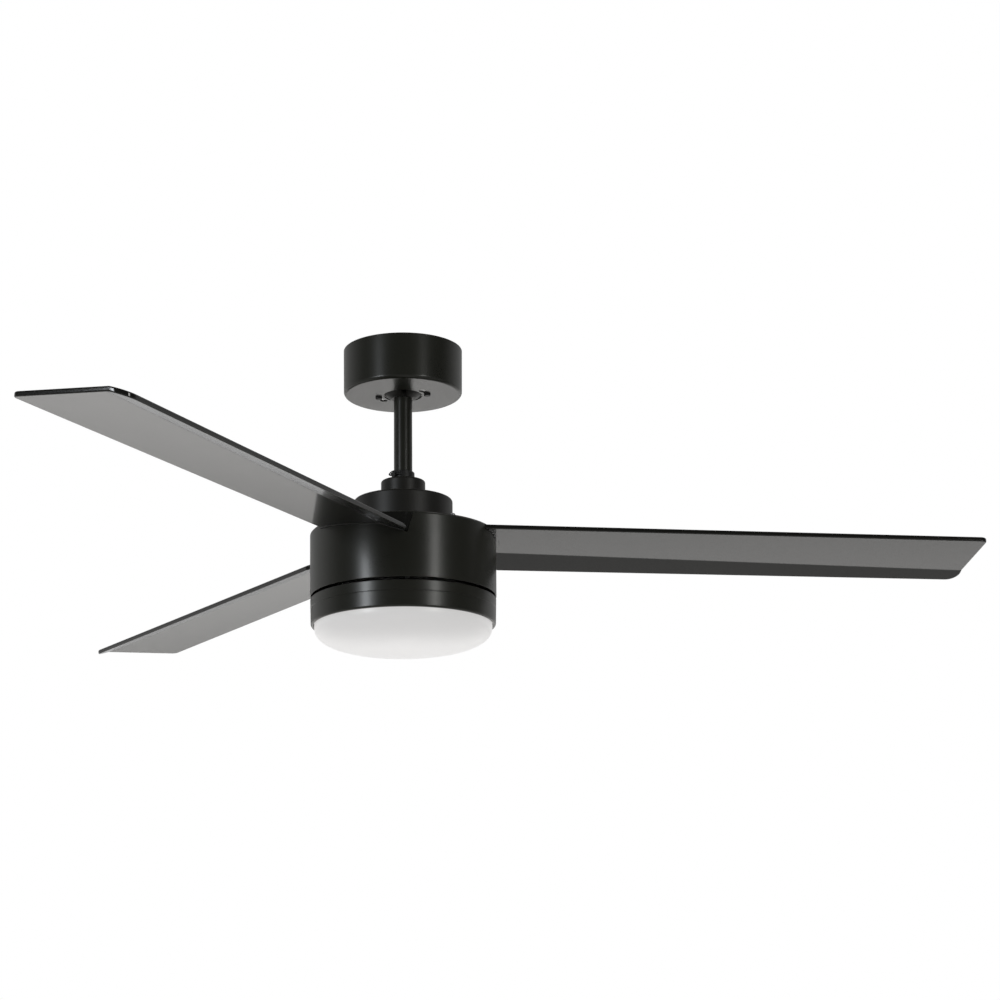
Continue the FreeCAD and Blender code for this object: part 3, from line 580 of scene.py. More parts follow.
def banded(name, base, dark, pitch, along_axis, roughness, metallic):
    """Ridges at an even pitch: stacked sheets along the axis, or wire wound round each tooth."""
    material, tree, shader = new_finish(name, Metallic=metallic)
    place = add_node(tree, "ShaderNodeTexCoord").outputs["Object"]
    parts = add_node(tree, "ShaderNodeSeparateXYZ")
    tree.links.new(place, parts.inputs[0])
    if along_axis:
        distance = parts.outputs["Z"]
    else:
        flat = add_node(tree, "ShaderNodeCombineXYZ")
        tree.links.new(parts.outputs["X"], flat.inputs["X"])
        tree.links.new(parts.outputs["Y"], flat.inputs["Y"])
        reach = add_node(tree, "ShaderNodeVectorMath", operation="LENGTH")
        tree.links.new(flat.outputs[0], reach.inputs[0])
        distance = reach.outputs["Value"]
    ridges = maths(tree, "SINE", maths(tree, "MULTIPLY", distance, 2 * math.pi / (pitch * MM)))
    ridges = ranged(tree, ridges, -1.0, 1.0)
    skin = place_effect(tree, "skin", Grain_Scale=1800.0, Gloss=roughness)
    body = blend_colours(tree, skin.outputs["Tone"], scaled_colour(base, 0.8), scaled_colour(base, 1.15))
    body = blend_colours(tree, ridges, dark, body)
    tree.links.new(body, shader.inputs["Base Color"])
    tree.links.new(skin.outputs["Roughness"], shader.inputs["Roughness"])
    bumped(tree, shader, ridges, 0.7, pitch * MM * 0.3)
    return material


def opal_acrylic():
    """Milky acrylic: a soft body under a smooth skin, with faint clouding."""
    looks = bpy.context.scene.fan_finishes
    base = looks.opal
    material, tree, shader = new_finish("opal acrylic", IOR=1.49, Subsurface_Weight=0.35,
                                        Subsurface_Scale=0.004,
                                        Subsurface_Radius=(1.0, 0.95, 0.9),
                                        Emission_Color=(1.0, 0.985, 0.97, 1.0),
                                        Emission_Strength=looks.opal_glow)
    grain = place_effect(tree, "grain", Peel_Scale=420.0, Gloss=0.32, Gloss_Spread=0.08, Drift_Scale=9.0)
    dust = place_effect(tree, "dust", Amount=0.05)
    body = blend_colours(tree, grain.outputs["Drift"], scaled_colour(base, 0.985), scaled_colour(base, 1.015))
    body = blend_colours(tree, dust.outputs["Mask"], body, (0.6, 0.58, 0.55))
    tree.links.new(body, shader.inputs["Base Color"])
    tree.links.new(grain.outputs["Roughness"], shader.inputs["Roughness"])
    bumped(tree, shader, grain.outputs["Height"], 0.08, 0.00003)
    return material


def build_finishes():
    """One material for each of the record's slots."""
    looks = bpy.context.scene.fan_finishes
    grey = (0.05, 0.05, 0.05)
    FINISHES.update({
        "black_metal": coated("satin black powder coat", looks.paint, looks.paint_roughness,
                              0.08, 1100.0, 0.16,
                              looks.dust_amount, grey, 0.02),
        "black_plastic": coated("satin black plastic", looks.plastic, looks.plastic_roughness,
                                0.06, 1500.0, 0.12,
                                looks.dust_amount, grey, 0.015),
        "blade_finish": coated("satin black blade", looks.blade, looks.blade_roughness, 0.05, 1300.0, 0.06,
                               looks.dust_amount, grey, 0.015, drift=5.0),
        "yoke_iron": cast("black painted iron", (0.02, 0.02, 0.02), 0.42, 0.0, 0.7),
        "zinc_steel": plated("zinc plated steel", looks.zinc, 0.34, 0.22, along=300.0, across=300.0),
        "screw_steel": plated("plated screw steel", (0.40, 0.40, 0.405),
                              0.32, 0.15, along=900.0, across=900.0),
        "spring_steel": plated("blackened spring steel", (0.11, 0.11, 0.11), 0.36, 0.12, along=60.0),
        "shaft_steel": plated("ground steel", (0.56, 0.56, 0.57), 0.20, 0.12, along=2500.0, across=30.0),
        "lamination_steel": banded("stacked electrical steel", (0.32, 0.32, 0.33),
                                   (0.10, 0.10, 0.105), 0.5, True,
                                   0.42, 1.0),
        "copper_winding": banded("enamelled copper wire", (0.62, 0.24, 0.07),
                                 (0.16, 0.05, 0.015), 0.75, False,
                                 0.26, 1.0),
        "magnet_ferrite": cast("sintered ferrite", (0.055, 0.055, 0.058), 0.55, 0.0, 0.5, 1800.0),
        "cast_aluminium": cast("die-cast aluminium", (0.66, 0.66, 0.665), 0.40, 1.0, 0.5, 900.0),
        "receiver_case": moulded("white moulded case", (0.74, 0.74, 0.71), 0.45),
        "terminal_plastic": moulded("cream nylon", (0.70, 0.66, 0.56), 0.40),
        "lead_insulation": moulded("lead insulation", (0.66, 0.66, 0.63), 0.42, 2500.0),
        "led_board_white": moulded("white solder mask", (0.84, 0.84, 0.83), 0.35, 1600.0, 0.0),
        "led_phosphor": moulded("yellow phosphor", (0.86, 0.70, 0.20), 0.30, 2500.0, 0.0),
        "opal_diffuser": opal_acrylic(),
    })


# Pieces ----------------------------------------------------------------------

def canopy_piece(sizes):
    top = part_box("canopy")[1].z / MM
    radius = in_mm(sizes.canopy_radius)
    low = top - in_mm(sizes.canopy_depth)
    edge = in_mm(sizes.canopy_edge)
    lower = radius - 0.4
    wall = 1.0
    hole = 22.0
    outline = soft_corners([
        (radius, top, 0.3), (lower, low, edge), (hole, low, 0.35), (hole, low + wall, 0.35),
        (lower - wall, low + wall, edge - wall), (radius - wall, top, 0.3)], 8)
    piece = drawn("canopy_shell", lambda bm: revolve(bm, outline, sizes.segments))

    def keyholes(bm):
        for side in (0.0, 180.0):
            drill(bm, 4.2, low - 2, low + 3, *polar(KEYHOLE_R, KEYHOLE_DEG + side))

    def slots(bm):
        for side in (0.0, 180.0):
            start = KEYHOLE_DEG + side
            band = [(KEYHOLE_R - 2.4, low - 2), (KEYHOLE_R + 2.4, low - 2), (KEYHOLE_R + 2.4, low + 3),
                    (KEYHOLE_R - 2.4, low + 3)]
            sweep_sector(bm, band, start, start + KEYHOLE_SLOT_DEG, 16)

    def slot_ends(bm):
        for side in (0.0, 180.0):
            drill(bm, 2.4, low - 2, low + 3, *polar(KEYHOLE_R, KEYHOLE_DEG + KEYHOLE_SLOT_DEG + side))

    for step in (keyholes, slots, slot_ends):
        cut(piece, step)
    return settle(piece, "canopy", MOUNT, FINISHES["black_metal"])


def downrod_piece(sizes):
    radius = in_mm(sizes.rod_radius)
    bore = in_mm(sizes.rod_bore)
    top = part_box("downrod")[1].z / MM
    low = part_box("downrod")[0].z / MM
    outline = soft_corners([(radius, low, 0.4), (radius, top, 0.5), (bore, top, 0.4), (bore, low, 0.4)], 4)
    piece = drawn("downrod_tube", lambda bm: revolve(bm, outline, sizes.segments // 2))
    cut(piece, lambda bm: cross_drill(bm, 2.55, 30, BALL_Z, PIN_DEG),
        lambda bm: cross_drill(bm, 3.05, 30, at(PIN_H), PIN_DEG))
    return settle(piece, "downrod", HANGING, FINISHES["black_metal"])


def yoke_piece(sizes):
    rod = in_mm(sizes.rod_radius)
    outline = soft_corners([
        (8.5, at(84), 0.3), (35.0, at(84), 0.8), (35.0, at(87), 0.8),
        (16.0, at(87), 1.6), (16.0, at(110), 1.0),
        (13.0, at(110), 0.6), (13.0, at(146), 1.5), (rod, at(146), 0.4), (rod, at(112.4), 0.0),
        (5.8, at(112.4), 0.0), (5.8, at(108), 0.0), (8.5, at(108), 0.0)], 6)
    piece = drawn("yoke_casting", lambda bm: revolve(bm, outline, sizes.segments // 2))
    cut(piece, lambda bm: cross_drill(bm, 3.05, 30, at(PIN_H), PIN_DEG))
    cut(piece, lambda bm: cross_drill(bm, 2.5, 30, at(97), PIN_DEG + 90),
        lambda bm: cross_drill(bm, 2.5, 30, at(122), PIN_DEG + 90),
        lambda bm: [drill(bm, 1.7, at(83), at(88), *polar(POST_R, a)) for a in EAR_DEG])
    return settle(piece, "yoke", HANGING, FINISHES["yoke_iron"])


def hairpin_piece():
    """One length of spring wire: through the pin, round its loop, and bowed back over the pin."""
    x = -14.7
    z = at(PIN_H)
    loop = 1.7
    loop_y = 5.4
    path = [(x, -7.5, z), (x, -4.0, z), (x, 0.0, z), (x, 3.0, z), (x, loop_y - 0.6, z)]
    for k in range(11):
        a = math.radians(-90 + 45 * k)
        path.append((x - 0.13 * k, loop_y + loop * math.cos(a), z + loop + loop * math.sin(a)))
    path += [(x - 1.0, 3.6, z + 4.0), (x - 0.5, 1.8, z + 4.5), (x, 0.0, z + 4.7), (x, -1.8, z + 4.1),
             (x, -3.6, z + 2.7), (x, -5.0, z + 2.5), (x, -7.5, z + 3.6)]
    curve = bpy.data.curves.new("hairpin_wire", "CURVE")
    curve.dimensions = "3D"
    curve.bevel_depth = 0.7 * MM
    curve.bevel_resolution = 5
    curve.resolution_u = 6
    curve.use_fill_caps = True
    spline = curve.splines.new("NURBS")
    spline.points.add(len(path) - 1)
    turn = spin(PIN_DEG)
    for point, place in zip(spline.points, path):
        point.co = (*(turn @ Vector(place) * MM), 1.0)
    spline.order_u = 3
    spline.use_endpoint_u = True
    wire = bpy.data.objects.new("wire", curve)
    bpy.context.scene.collection.objects.link(wire)
    graph = bpy.context.evaluated_depsgraph_get()
    mesh = bpy.data.meshes.new_from_object(wire.evaluated_get(graph))
    bpy.data.objects.remove(wire)
    piece = bpy.data.objects.new("hairpin", mesh)
    bpy.context.scene.collection.objects.link(piece)
    return settle(piece, "hairpin_clip", HANGING, FINISHES["spring_steel"], 60.0)


def coupling_cover_piece(sizes):
    skirt = in_mm(sizes.skirt_radius)
    cap = in_mm(sizes.cap_radius)
    wall = 2.0
    edge = 2.5
    tier = 112.4
    top = 135.5
    outline = soft_corners([
        (skirt, at(80), 0.6), (skirt, at(tier), edge), (cap, at(tier), 0.5), (cap, at(top), edge),
        (20.0, at(top), 0.6), (20.0, at(top - wall), 0.4), (cap - wall, at(top - wall), 1.0),
        (cap - wall, at(tier - wall), 0.6), (skirt - wall, at(tier - wall), 1.0),
        (skirt - wall, at(80), 0.5)], 8)
    piece = drawn("coupling_cover_shell", lambda bm: revolve(bm, outline, sizes.segments))
    weld(piece, lambda bm: [drill(bm, 4.0, at(87), at(tier - wall + 0.5),
                                  *polar(POST_R, a)) for a in EAR_DEG])
    cut(piece, lambda bm: [drill(bm, 1.5, at(86), at(98), *polar(POST_R, a)) for a in EAR_DEG])
    return settle(piece, "coupling_cover", HANGING, FINISHES["black_plastic"])


def crease_distance(x, y):
    """How far a point of a blade's plan lies beyond its crease line."""
    rise = 0.0339
    return ((y - 25.0) - rise * (x - 117.0)) / math.sqrt(1 + rise * rise)


def blade_place(sizes):
    return (Matrix.Translation((0, 0, at(63.3))) @ Matrix.Rotation(sizes.blade_droop, 4, "Y")
            @ Matrix.Rotation(-sizes.blade_pitch, 4, "X"))


def along_crease():
    """Frame whose first axis runs along the crease and second across it, to the trailing edge."""
    rise = math.atan(0.0339)
    return Matrix.Translation((0, 25.0 - 0.0339 * 117.0, 0)) @ Matrix.Rotation(rise, 4, "Z")


def notch_bar(bm, sizes, low, near, far, turn=0.0):
    """Bar across the drum's wall: the opening that a blade drops into. Its floor stands at low
    above the blade's underside and near and far draw its two sides in."""
    flap = sizes.blade_flap
    side = 28.0 - far
    front = near - 82.2
    outline = soft_corners([
        (front, low, 1.0), (0, low, 2.0), (side, low / math.cos(flap) - side * math.tan(flap), 1.0),
        (side + 1.0, -4.5, 1.5), (side + 2.0, 4.0, 4.0), (side + 3.5, 9.0, 3.0), (side + 3.5, 40, 0),
        (front, 40, 0)], 6)
    face_out = spin(turn) @ blade_place(sizes) @ along_crease() @ Matrix.Rotation(
        math.radians(90), 4, "Y") @ Matrix.Rotation(math.radians(90), 4, "Z")
    draw_out(bm, outline, 80, 125, face_out)


def cut_notches(bm, sizes):
    for turn in (0.0, 120.0, 240.0):
        notch_bar(bm, sizes, -0.7, 0.0, 0.0, turn)


def drum_piece(sizes):
    radius = in_mm(sizes.drum_radius)
    height = in_mm(sizes.drum_height)
    lower = radius - 0.5
    wall = 1.2
    flange = 97.0
    outline = soft_corners([
        (lower, at(0), 0.45), (radius, at(height), in_mm(sizes.drum_edge)), (flange, at(height), 0.4),
        (flange, at(height - wall), 0.4), (radius - wall, at(height - wall), 0.8),
        (lower - wall, at(0), 0.45)], 8)
    piece = drawn("drum_shell", lambda bm: revolve(bm, outline, sizes.segments))

    def ears(bm):
        tab = soft_corners([(65, -12, 3.0), (104.0, -12, 0), (104.0, 12, 0), (65, 12, 3.0)], 5)
        for a in EAR_DEG:
            draw_out(bm, tab, at(49), at(50.5), spin(a))

    def bosses(bm):
        for a in EAR_DEG:
            drill(bm, 4.2, at(63), at(height - 0.6), *polar(RIM_SCREW_R, a))

    def screw_holes(bm):
        for a in EAR_DEG:
            drill(bm, 2.0, at(48), at(52), *polar(EAR_SCREW_R, a))
            drill(bm, 1.4, at(64), at(74), *polar(RIM_SCREW_R, a))

    weld(piece, ears)
    weld(piece, bosses)
    cut(piece, lambda bm: cut_notches(bm, sizes))
    cut(piece, screw_holes)
    return settle(piece, "motor_housing", ROTOR, FINISHES["black_metal"], 30.0)


def lid_piece(sizes):
    radius = in_mm(sizes.lid_radius)
    low = in_mm(sizes.drum_height)
    rise = 5.3
    sheet = 1.2
    outline = soft_corners([
        (30, at(low + rise), 0.3), (74, at(low + rise), 1.8), (80, at(low), 2.4), (radius, at(low), 0.35),
        (radius, at(low + sheet), 0.6), (80.6, at(low + sheet), 1.6), (74.6, at(low + rise + sheet), 2.6),
        (30, at(low + rise + sheet), 0.5)], 6)
    piece = drawn("drum_lid", lambda bm: revolve(bm, outline, sizes.segments))
    cut(piece, lambda bm: [drill(bm, 1.6, at(low - 1), at(low + 3), *polar(RIM_SCREW_R, a)) for a in EAR_DEG])
    return settle(piece, "housing_top_cover", ROTOR, FINISHES["black_metal"])


def blade_plan():
    """Outline of a blade in plan, from its root tongue round to its cut trailing corner."""
    tip = 658.0
    return soft_corners([
        (42, -34, 4), (70, -34, 10), (86, -56.1, 6), (tip, -59.0, 7), (tip - 2.2, 64.2, 16), (112, 61.4, 4),
        (93, 50.5, 6), (80, 24, 6), (70, 22, 6), (42, 22, 4)], 10)


def drawn_in(outline, inset):
    """Closed outline moved inward by a small amount."""
    moved = []
    count = len(outline)
    for i, p in enumerate(outline):
        before = (p - outline[i - 1]).normalized()
        after = (outline[(i + 1) % count] - p).normalized()
        normal = Vector((-(before.y + after.y), before.x + after.x))
        normal.normalize()
        stretch = 1.0 / max(0.5, Vector((-before.y, before.x)).dot(normal))
        moved.append(p + normal * inset * stretch)
    return moved


def blade_slab(bm, sizes):
    """Flat blank of a blade with rounded edges."""
    thickness = in_mm(sizes.blade_thickness)
    edge = in_mm(sizes.blade_edge)
    steps = 4
    plan = blade_plan()
    levels = []
    for k in range(steps + 1):
        a = 0.5 * math.pi * k / steps
        levels.append((edge * (1 - math.sin(a)), edge * (1 - math.cos(a))))
    levels += [(inset, thickness - z) for inset, z in reversed(levels)]
    loops = [[bm.verts.new((p.x, p.y, z)) for p in drawn_in(plan, inset)] for inset, z in levels]
    for first, second in zip(loops, loops[1:]):
        bridge(bm, first, second)
    bm.faces.new(loops[0])
    bm.faces.new(loops[-1])


def bend_flap(bm, sizes):
    """Bend the strip beyond the crease downward, with a soft crease."""
    half = in_mm(sizes.blade_bend)
    slope = math.tan(sizes.blade_flap)
    shift = math.tan(sizes.blade_flap / 2)
    frame_in = along_crease()
    across = (frame_in.to_3x3() @ Vector((0, 1, 0)))
    for k in range(-4, 5):
        start = frame_in @ Vector((0, half * k / 3, 0))
        geometry = bm.verts[:] + bm.edges[:] + bm.faces[:]
        bmesh.ops.bisect_plane(bm, geom=geometry, dist=1e-5, plane_co=start, plane_no=across)
    for v in bm.verts:
        u = crease_distance(v.co.x, v.co.y) - v.co.z * shift
        if u > half:
            v.co.z -= slope * u
        elif u > -half:
            v.co.z -= slope * (u + half) ** 2 / (4 * half)


def root_step(bm, sizes, place):
    """Shallow step on a blade's underside that follows the drum, just off its wall."""
    slope = math.tan(sizes.blade_flap)
    start = -30.6
    sweep = 58.6
    steps = 60
    section = ((104.2, -0.6), (107.9, -0.6), (108.3, -0.2), (108.3, 1.5), (104.2, 1.5))
    rings = []
    for k in range(steps + 1):
        ring = []
        for r, lift in section:
            x, y = polar(r, start + sweep * k / steps)
            low = -slope * max(0.0, crease_distance(x, y))
            ring.append(bm.verts.new(place @ Vector((x, y, low + lift))))
        rings.append(ring)
    for first, second in zip(rings, rings[1:]):
        bridge(bm, first, second)
    bm.faces.new(rings[0])
    bm.faces.new(rings[-1])


def wall_band(bm, inner, outer, low, high):
    """Part of the drum's wall that a blade passes through."""
    band = [(inner, at(low)), (outer, at(low)), (outer, at(high)), (inner, at(high))]
    sweep_sector(bm, band, -40.0, 42.0, 90)


def fit_root(piece, sizes):
    """Step and closing wall at the first blade's root, fitted to the edges of the drum's opening."""
    place = blade_place(sizes)
    gap = 0.4
    under_cover = in_mm(sizes.drum_height) - 0.3
    weld(piece, lambda bm: root_step(bm, sizes, place))
    wall = drawn("wall", lambda bm: wall_band(bm, 102.9, 105.35, 30.0, 90.0))
    cut(wall, lambda bm: notch_bar(bm, sizes, -0.3, gap, gap))
    work(piece, wall, "DIFFERENCE")
    closing = drawn("closing", lambda bm: wall_band(bm, 103.6, 104.9, 40.0, under_cover))
    work(closing, drawn("bar", lambda bm: notch_bar(bm, sizes, 0.8, 1.6, gap)), "INTERSECT")
    work(piece, closing, "UNION")


def blade_piece(sizes, number):
    piece = drawn("blade_%d_plate" % number, lambda bm: blade_slab(bm, sizes))
    cut(piece, lambda bm: [drill(bm, 2.6, -4, 9, x, y) for x, y in ((64, -24), (64, 12), (50, -6))])
    bm = bmesh.new()
    bm.from_mesh(piece.data)
    bmesh.ops.scale(bm, vec=(1 / MM,) * 3, verts=bm.verts)
    bend_flap(bm, sizes)
    bmesh.ops.transform(bm, matrix=blade_place(sizes), verts=bm.verts)
    bmesh.ops.scale(bm, vec=(MM,) * 3, verts=bm.verts)
    bmesh.ops.recalc_face_normals(bm, faces=bm.faces)
    bm.to_mesh(piece.data)
    bm.free()
    fit_root(piece, sizes)
    piece.data.transform(spin(120.0 * (number - 1)))
    return settle(piece, "blade_%d" % number, ROTOR, FINISHES["blade_finish"], 35.0)


def light_ring_piece(sizes):
    radius = in_mm(sizes.ring_radius)
    low = -3.4 - in_mm(sizes.ring_depth)
    lower = radius - 0.7
    wall = 1.2
    lip = 100.3
    outline = soft_corners([
        (radius, at(-3.4), 0.4), (radius - 0.25, at(-14.2), 0.15), (radius - 0.65, at(-14.5), 0.1),
        (radius - 0.67, at(-15.0), 0.1), (radius - 0.27, at(-15.3), 0.15), (lower, at(low), 2.2),
        (lip, at(low), 0.4), (lip, at(low + wall), 0.3), (lower - wall, at(low + wall), 0.7),
        (radius - wall - 0.2, at(-6.4), 0.2), (92.0, at(-6.4), 0.2), (92.0, at(-4.9), 0.2),
        (radius - wall - 0.1, at(-4.9), 0.2), (radius - wall, at(-3.4), 0.4)], 8)
    piece = drawn("light_ring_shell", lambda bm: revolve(bm, outline, sizes.segments))

    def bars(outer, inner, z0, z1, start, end):
        band = [(inner, at(z0)), (outer, at(z0)), (outer, at(z1)), (inner, at(z1))]
        return lambda bm: [sweep_sector(bm, band, a + start, a + end, 10) for a in LUG_DEG]

    weld(piece, bars(102.9, lip, -29.0, -27.8, -8.0, 9.0))
    weld(piece, bars(102.9, lip, -28.4, -25.0, 6.4, 9.0))
    cut(piece, lambda bm: [drill(bm, 1.6, at(-7), at(-4), *polar(97, a)) for a in EAR_DEG])
    return settle(piece, "light_ring", HANGING, FINISHES["black_metal"], 30.0)


def bowl_points(radius, drop, rim, steps):
    """Profile of the bowl from its rim to the axis, flatter in the middle than a sphere."""
    power = 2.7
    points = []
    for k in range(steps + 1):
        a = 0.5 * math.pi * k / steps
        points.append((max(0.0, radius * math.cos(a) ** (2 / power)) if k < steps else 0.0,
                       rim - drop * math.sin(a) ** (2 / power)))
    return points


def diffuser_piece(sizes):
    radius = in_mm(sizes.dome_radius)
    drop = in_mm(sizes.dome_drop)
    wall = in_mm(sizes.dome_wall)
    rim = at(-3.4 - in_mm(sizes.ring_depth))
    top = at(-25.0)
    lip = [(radius - 0.6, top), (radius - 0.18, top - 0.18), (radius, top - 0.6)]
    inner_lip = [(radius - wall, top - 0.6), (radius - wall + 0.18, top - 0.18), (radius - wall + 0.6, top)]
    outer = bowl_points(radius, drop, rim, 56)
    inner = bowl_points(radius - wall, drop - wall, rim, 56)
    outline = lip + outer + list(reversed(inner)) + inner_lip
    piece = drawn("diffuser_bowl", lambda bm: revolve(bm, outline, sizes.segments))
    band = [(radius - 1.0, at(-27.5)), (101.9, at(-27.5)), (101.9, at(-25.1)), (radius - 1.0, at(-25.1))]
    weld(piece, lambda bm: [sweep_sector(bm, band, a - 6, a + 6, 8) for a in LUG_DEG])
    return settle(piece, "diffuser", LIGHT, FINISHES["opal_diffuser"], 40.0)


def finish_carried_nodes():
    """Every CAD node still shown gets the finish of its slot, and pressed or moulded ones softened edges."""
    slots = {part["node"]: part["material_slot"] for part in frame["record"]["subparts"]}
    softened = {"mounting_bracket": 0.3, "receiver": 0.5, "terminal_block": 0.3, "lead_connector": 0.3,
                "led_driver": 0.4}
    for name, node in frame["nodes"].items():
        if node.hide_render:
            continue
        node.data.materials.clear()
        node.data.materials.append(FINISHES[slots[name]])
        if name in softened:
            joined = node.modifiers.new("join facets", "WELD")
            joined.merge_threshold = 1e-6
            edge = node.modifiers.new("soft edges", "BEVEL")
            edge.width = softened[name] * MM
            edge.segments = 2
            edge.limit_method = "ANGLE"
            edge.angle_limit = math.radians(50)
            even = node.modifiers.new("even shading", "WEIGHTED_NORMAL")
            even.weight = 80


# Studio ----------------------------------------------------------------------

def studio_sky(settings):
    """White to the camera; for light and reflections bright behind the fan and dark in front of it."""
    world = bpy.data.worlds.new("studio")
    world.use_nodes = True
    bpy.context.scene.world = world
    tree = world.node_tree
    tree.nodes.clear()
    direction = add_node(tree, "ShaderNodeTexCoord").outputs["Generated"]
    parts = add_node(tree, "ShaderNodeSeparateXYZ")
    tree.links.new(direction, parts.inputs[0])
    behind = ranged(tree, parts.outputs["Y"], -0.25, 0.55, settings.sky_front, settings.sky_back)
    upper = ranged(tree, parts.outputs["Z"], -0.05, 0.25, 1.0, 0.42)
    glow = maths(tree, "MULTIPLY", behind, upper)
    lit = add_node(tree, "ShaderNodeBackground")
    tree.links.new(glow, lit.inputs["Strength"])
    seen = add_node(tree, "ShaderNodeBackground")
    seen.inputs["Strength"].default_value = 1.0
    seen.inputs["Color"].default_value = (1, 1, 1, 1)
    lit.inputs["Color"].default_value = (1, 1, 1, 1)
    choose = add_node(tree, "ShaderNodeMixShader")
    tree.links.new(add_node(tree, "ShaderNodeLightPath").outputs["Is Camera Ray"], choose.inputs[0])
    tree.links.new(lit.outputs[0], choose.inputs[1])
    tree.links.new(seen.outputs[0], choose.inputs[2])
    tree.links.new(choose.outputs[0], add_node(tree, "ShaderNodeOutputWorld").inputs["Surface"])


def studio_floor(settings):
    half = settings.floor_size
    mesh = bpy.data.meshes.new("studio_floor")
    depth = -settings.floor_depth
    mesh.from_pydata([(-half, -half, depth), (half, -half, depth),
                      (half, half, depth), (-half, half, depth)], [],
                     [(0, 1, 2, 3)])
    floor = bpy.data.objects.new("studio_floor", mesh)
    bpy.context.scene.collection.objects.link(floor)
    material, tree, shader = new_finish("studio floor", Roughness=0.9)
    grain = place_effect(tree, "grain", Peel_Scale=30.0, Drift_Scale=0.6, Gloss=0.85, Gloss_Spread=0.05)
    tone = blend_colours(tree, grain.outputs["Drift"], scaled_colour(settings.floor_tone, 0.99),
                         scaled_colour(settings.floor_tone, 1.01))
    tree.links.new(tone, shader.inputs["Base Color"])
    mesh.materials.append(material)


def soft_light(name, place, aim, width, height, watts, tint=(1.0, 1.0, 1.0)):
    light = bpy.data.lights.new(name, "AREA")
    light.shape = "RECTANGLE"
    light.size = width
    light.size_y = height
    light.energy = watts
    light.color = tint
    lamp = bpy.data.objects.new(name, light)
    lamp.location = place
    lamp.rotation_mode = "QUATERNION"
    lamp.rotation_quaternion = (Vector(aim) - Vector(place)).to_track_quat("-Z", "Y")
    lamp.visible_camera = False
    bpy.context.scene.collection.objects.link(lamp)
    return lamp


def studio_lights(settings):
    centre = (0.0, 0.0, -0.25)
    for name, degrees, share_of, tint in (("soft_box_left", -138.6, 1.0, (0.92, 0.96, 1.0)),
                                          ("soft_box_right", -54.8, 0.56, (1.0, 1.0, 0.97))):
        x, y = polar(2.6, degrees)
        soft_light(name, (x, y, 0.04), centre, 0.34, 0.78, settings.box_power * share_of, tint)
    backdrop = soft_light("backdrop_wash", (0.0, 8.6, 2.6), (0.0, 9.1, -2.3), 16.0, 7.0, 1000.0)
    wash = soft_light("floor_wash", (0.0, -1.2, 1.6), (0.0, -1.2, -2.3), 4.0, 3.0, settings.wash_power)
    for lamp in (backdrop, wash):
        lamp.visible_glossy = False


def studio_camera(settings):
    """Seen from below and a little to the left, level to within a degree."""
    turn = math.radians(-2.99)
    yaw = 0.0421
    tilt = 0.2668
    roll = -0.0131
    forward = Vector((math.sin(yaw) * math.cos(tilt), math.cos(yaw) * math.cos(tilt), math.sin(tilt)))
    right = Vector((math.cos(yaw), -math.sin(yaw), 0.0))
    above = right.cross(forward)
    side = right * math.cos(roll) + above * math.sin(roll)
    above = -right * math.sin(roll) + above * math.cos(roll)
    facing = Matrix((side, above, -forward)).transposed()
    data = bpy.data.cameras.new("camera")
    data.lens = settings.camera_lens
    data.sensor_width = 36.0
    camera = bpy.data.objects.new("camera", data)
    facing = Matrix.Rotation(turn, 3, "Z") @ facing
    camera.matrix_world = Matrix.Translation((-0.1360, -2.6047, -0.8915)) @ facing.to_4x4()
    bpy.context.scene.collection.objects.link(camera)
    bpy.context.scene.camera = camera


# Operators, panel and registration -------------------------------------------

class FAN_OT_finishes(Operator):
    """Builds the shared effects and one finish for each material slot"""

    bl_idname = "fan.finishes"
    bl_label = "Finishes"

    def execute(self, context):
        build_effects()
        build_finishes()
        return {"FINISHED"}


class FAN_OT_canopy(Operator):
    """Spins the canopy and cuts its keyholes"""

    bl_idname = "fan.canopy"
    bl_label = "Canopy"

    def execute(self, context):
        canopy_piece(context.scene.fan_sizes)
        return {"FINISHED"}


class FAN_OT_suspension(Operator):
    """Makes the downrod, its yoke, the hairpin clip and the two-tier cover"""

    bl_idname = "fan.suspension"
    bl_label = "Downrod and coupling"

    def execute(self, context):
        sizes = context.scene.fan_sizes
        downrod_piece(sizes)
        yoke_piece(sizes)
        hairpin_piece()
        coupling_cover_piece(sizes)
        return {"FINISHED"}


class FAN_OT_drum(Operator):
    """Spins the drum with its blade notches, and the lid on it"""

    bl_idname = "fan.drum"
    bl_label = "Drum and lid"

    def execute(self, context):
        sizes = context.scene.fan_sizes
        drum_piece(sizes)
        lid_piece(sizes)
        return {"FINISHED"}


class FAN_OT_blades(Operator):
    """Cuts and bends the three blades"""

    bl_idname = "fan.blades"
    bl_label = "Blades"

    def execute(self, context):
        for number in (1, 2, 3):
            blade_piece(context.scene.fan_sizes, number)
        return {"FINISHED"}


class FAN_OT_light(Operator):
    """Spins the light ring and the opal diffuser"""

    bl_idname = "fan.light"
    bl_label = "Light ring and diffuser"

    def execute(self, context):
        sizes = context.scene.fan_sizes
        light_ring_piece(sizes)
        diffuser_piece(sizes)
        return {"FINISHED"}


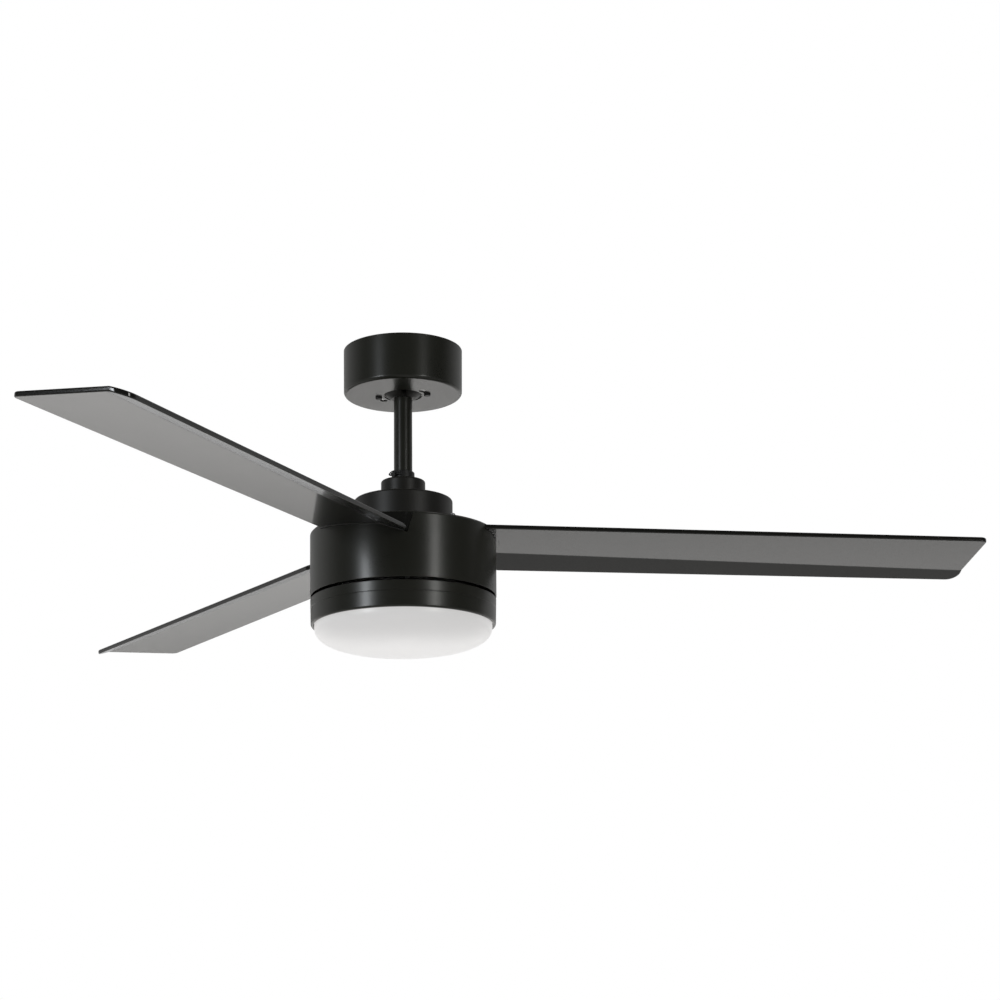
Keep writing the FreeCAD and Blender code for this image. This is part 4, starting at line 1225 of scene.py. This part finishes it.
class FAN_OT_hardware(Operator):
    """Gives the bracket, motor, bearings, screws and wiring their finishes"""

    bl_idname = "fan.hardware"
    bl_label = "Hardware and motor"

    def execute(self, context):
        finish_carried_nodes()
        return {"FINISHED"}


class FAN_OT_stage(Operator):
    """Sets up the floor, the studio light and the camera"""

    bl_idname = "fan.stage"
    bl_label = "Stage"

    def execute(self, context):
        settings = context.scene.fan_studio
        studio_sky(settings)
        studio_floor(settings)
        studio_lights(settings)
        studio_camera(settings)
        context.scene.view_settings.view_transform = "Standard"
        return {"FINISHED"}


OPERATORS = (FAN_OT_finishes, FAN_OT_canopy, FAN_OT_suspension, FAN_OT_drum, FAN_OT_blades, FAN_OT_light,
             FAN_OT_hardware, FAN_OT_stage)


class FAN_PT_build(Panel):
    """Lists the fan's build steps with its sizes and finishes"""

    bl_idname = "FAN_PT_build"
    bl_label = "Ceiling fan"
    bl_space_type = "VIEW_3D"
    bl_region_type = "UI"
    bl_category = "Fan"

    def draw(self, context):
        for operator in OPERATORS:
            self.layout.operator(operator.bl_idname)
        for group in (context.scene.fan_sizes, context.scene.fan_finishes, context.scene.fan_studio):
            box = self.layout.box()
            for key in group.bl_rna.properties.keys():
                if key not in ("rna_type", "name"):
                    box.prop(group, key)


CLASSES = (FanSizes, FanFinishes, FanStudio) + OPERATORS + (FAN_PT_build,)


def register():
    for cls in CLASSES:
        bpy.utils.register_class(cls)
    bpy.types.Scene.fan_sizes = PointerProperty(type=FanSizes)
    bpy.types.Scene.fan_finishes = PointerProperty(type=FanFinishes)
    bpy.types.Scene.fan_studio = PointerProperty(type=FanStudio)


def unregister():
    for key in ("fan_studio", "fan_finishes", "fan_sizes"):
        delattr(bpy.types.Scene, key)
    for cls in reversed(CLASSES):
        bpy.utils.unregister_class(cls)


def main():
    register()
    bpy.ops.fan.finishes()
    bpy.ops.fan.canopy()
    bpy.ops.fan.suspension()
    bpy.ops.fan.drum()
    bpy.ops.fan.blades()
    bpy.ops.fan.light()
    bpy.ops.fan.hardware()
    bpy.ops.fan.stage()


if __name__ == "__main__":
    main()
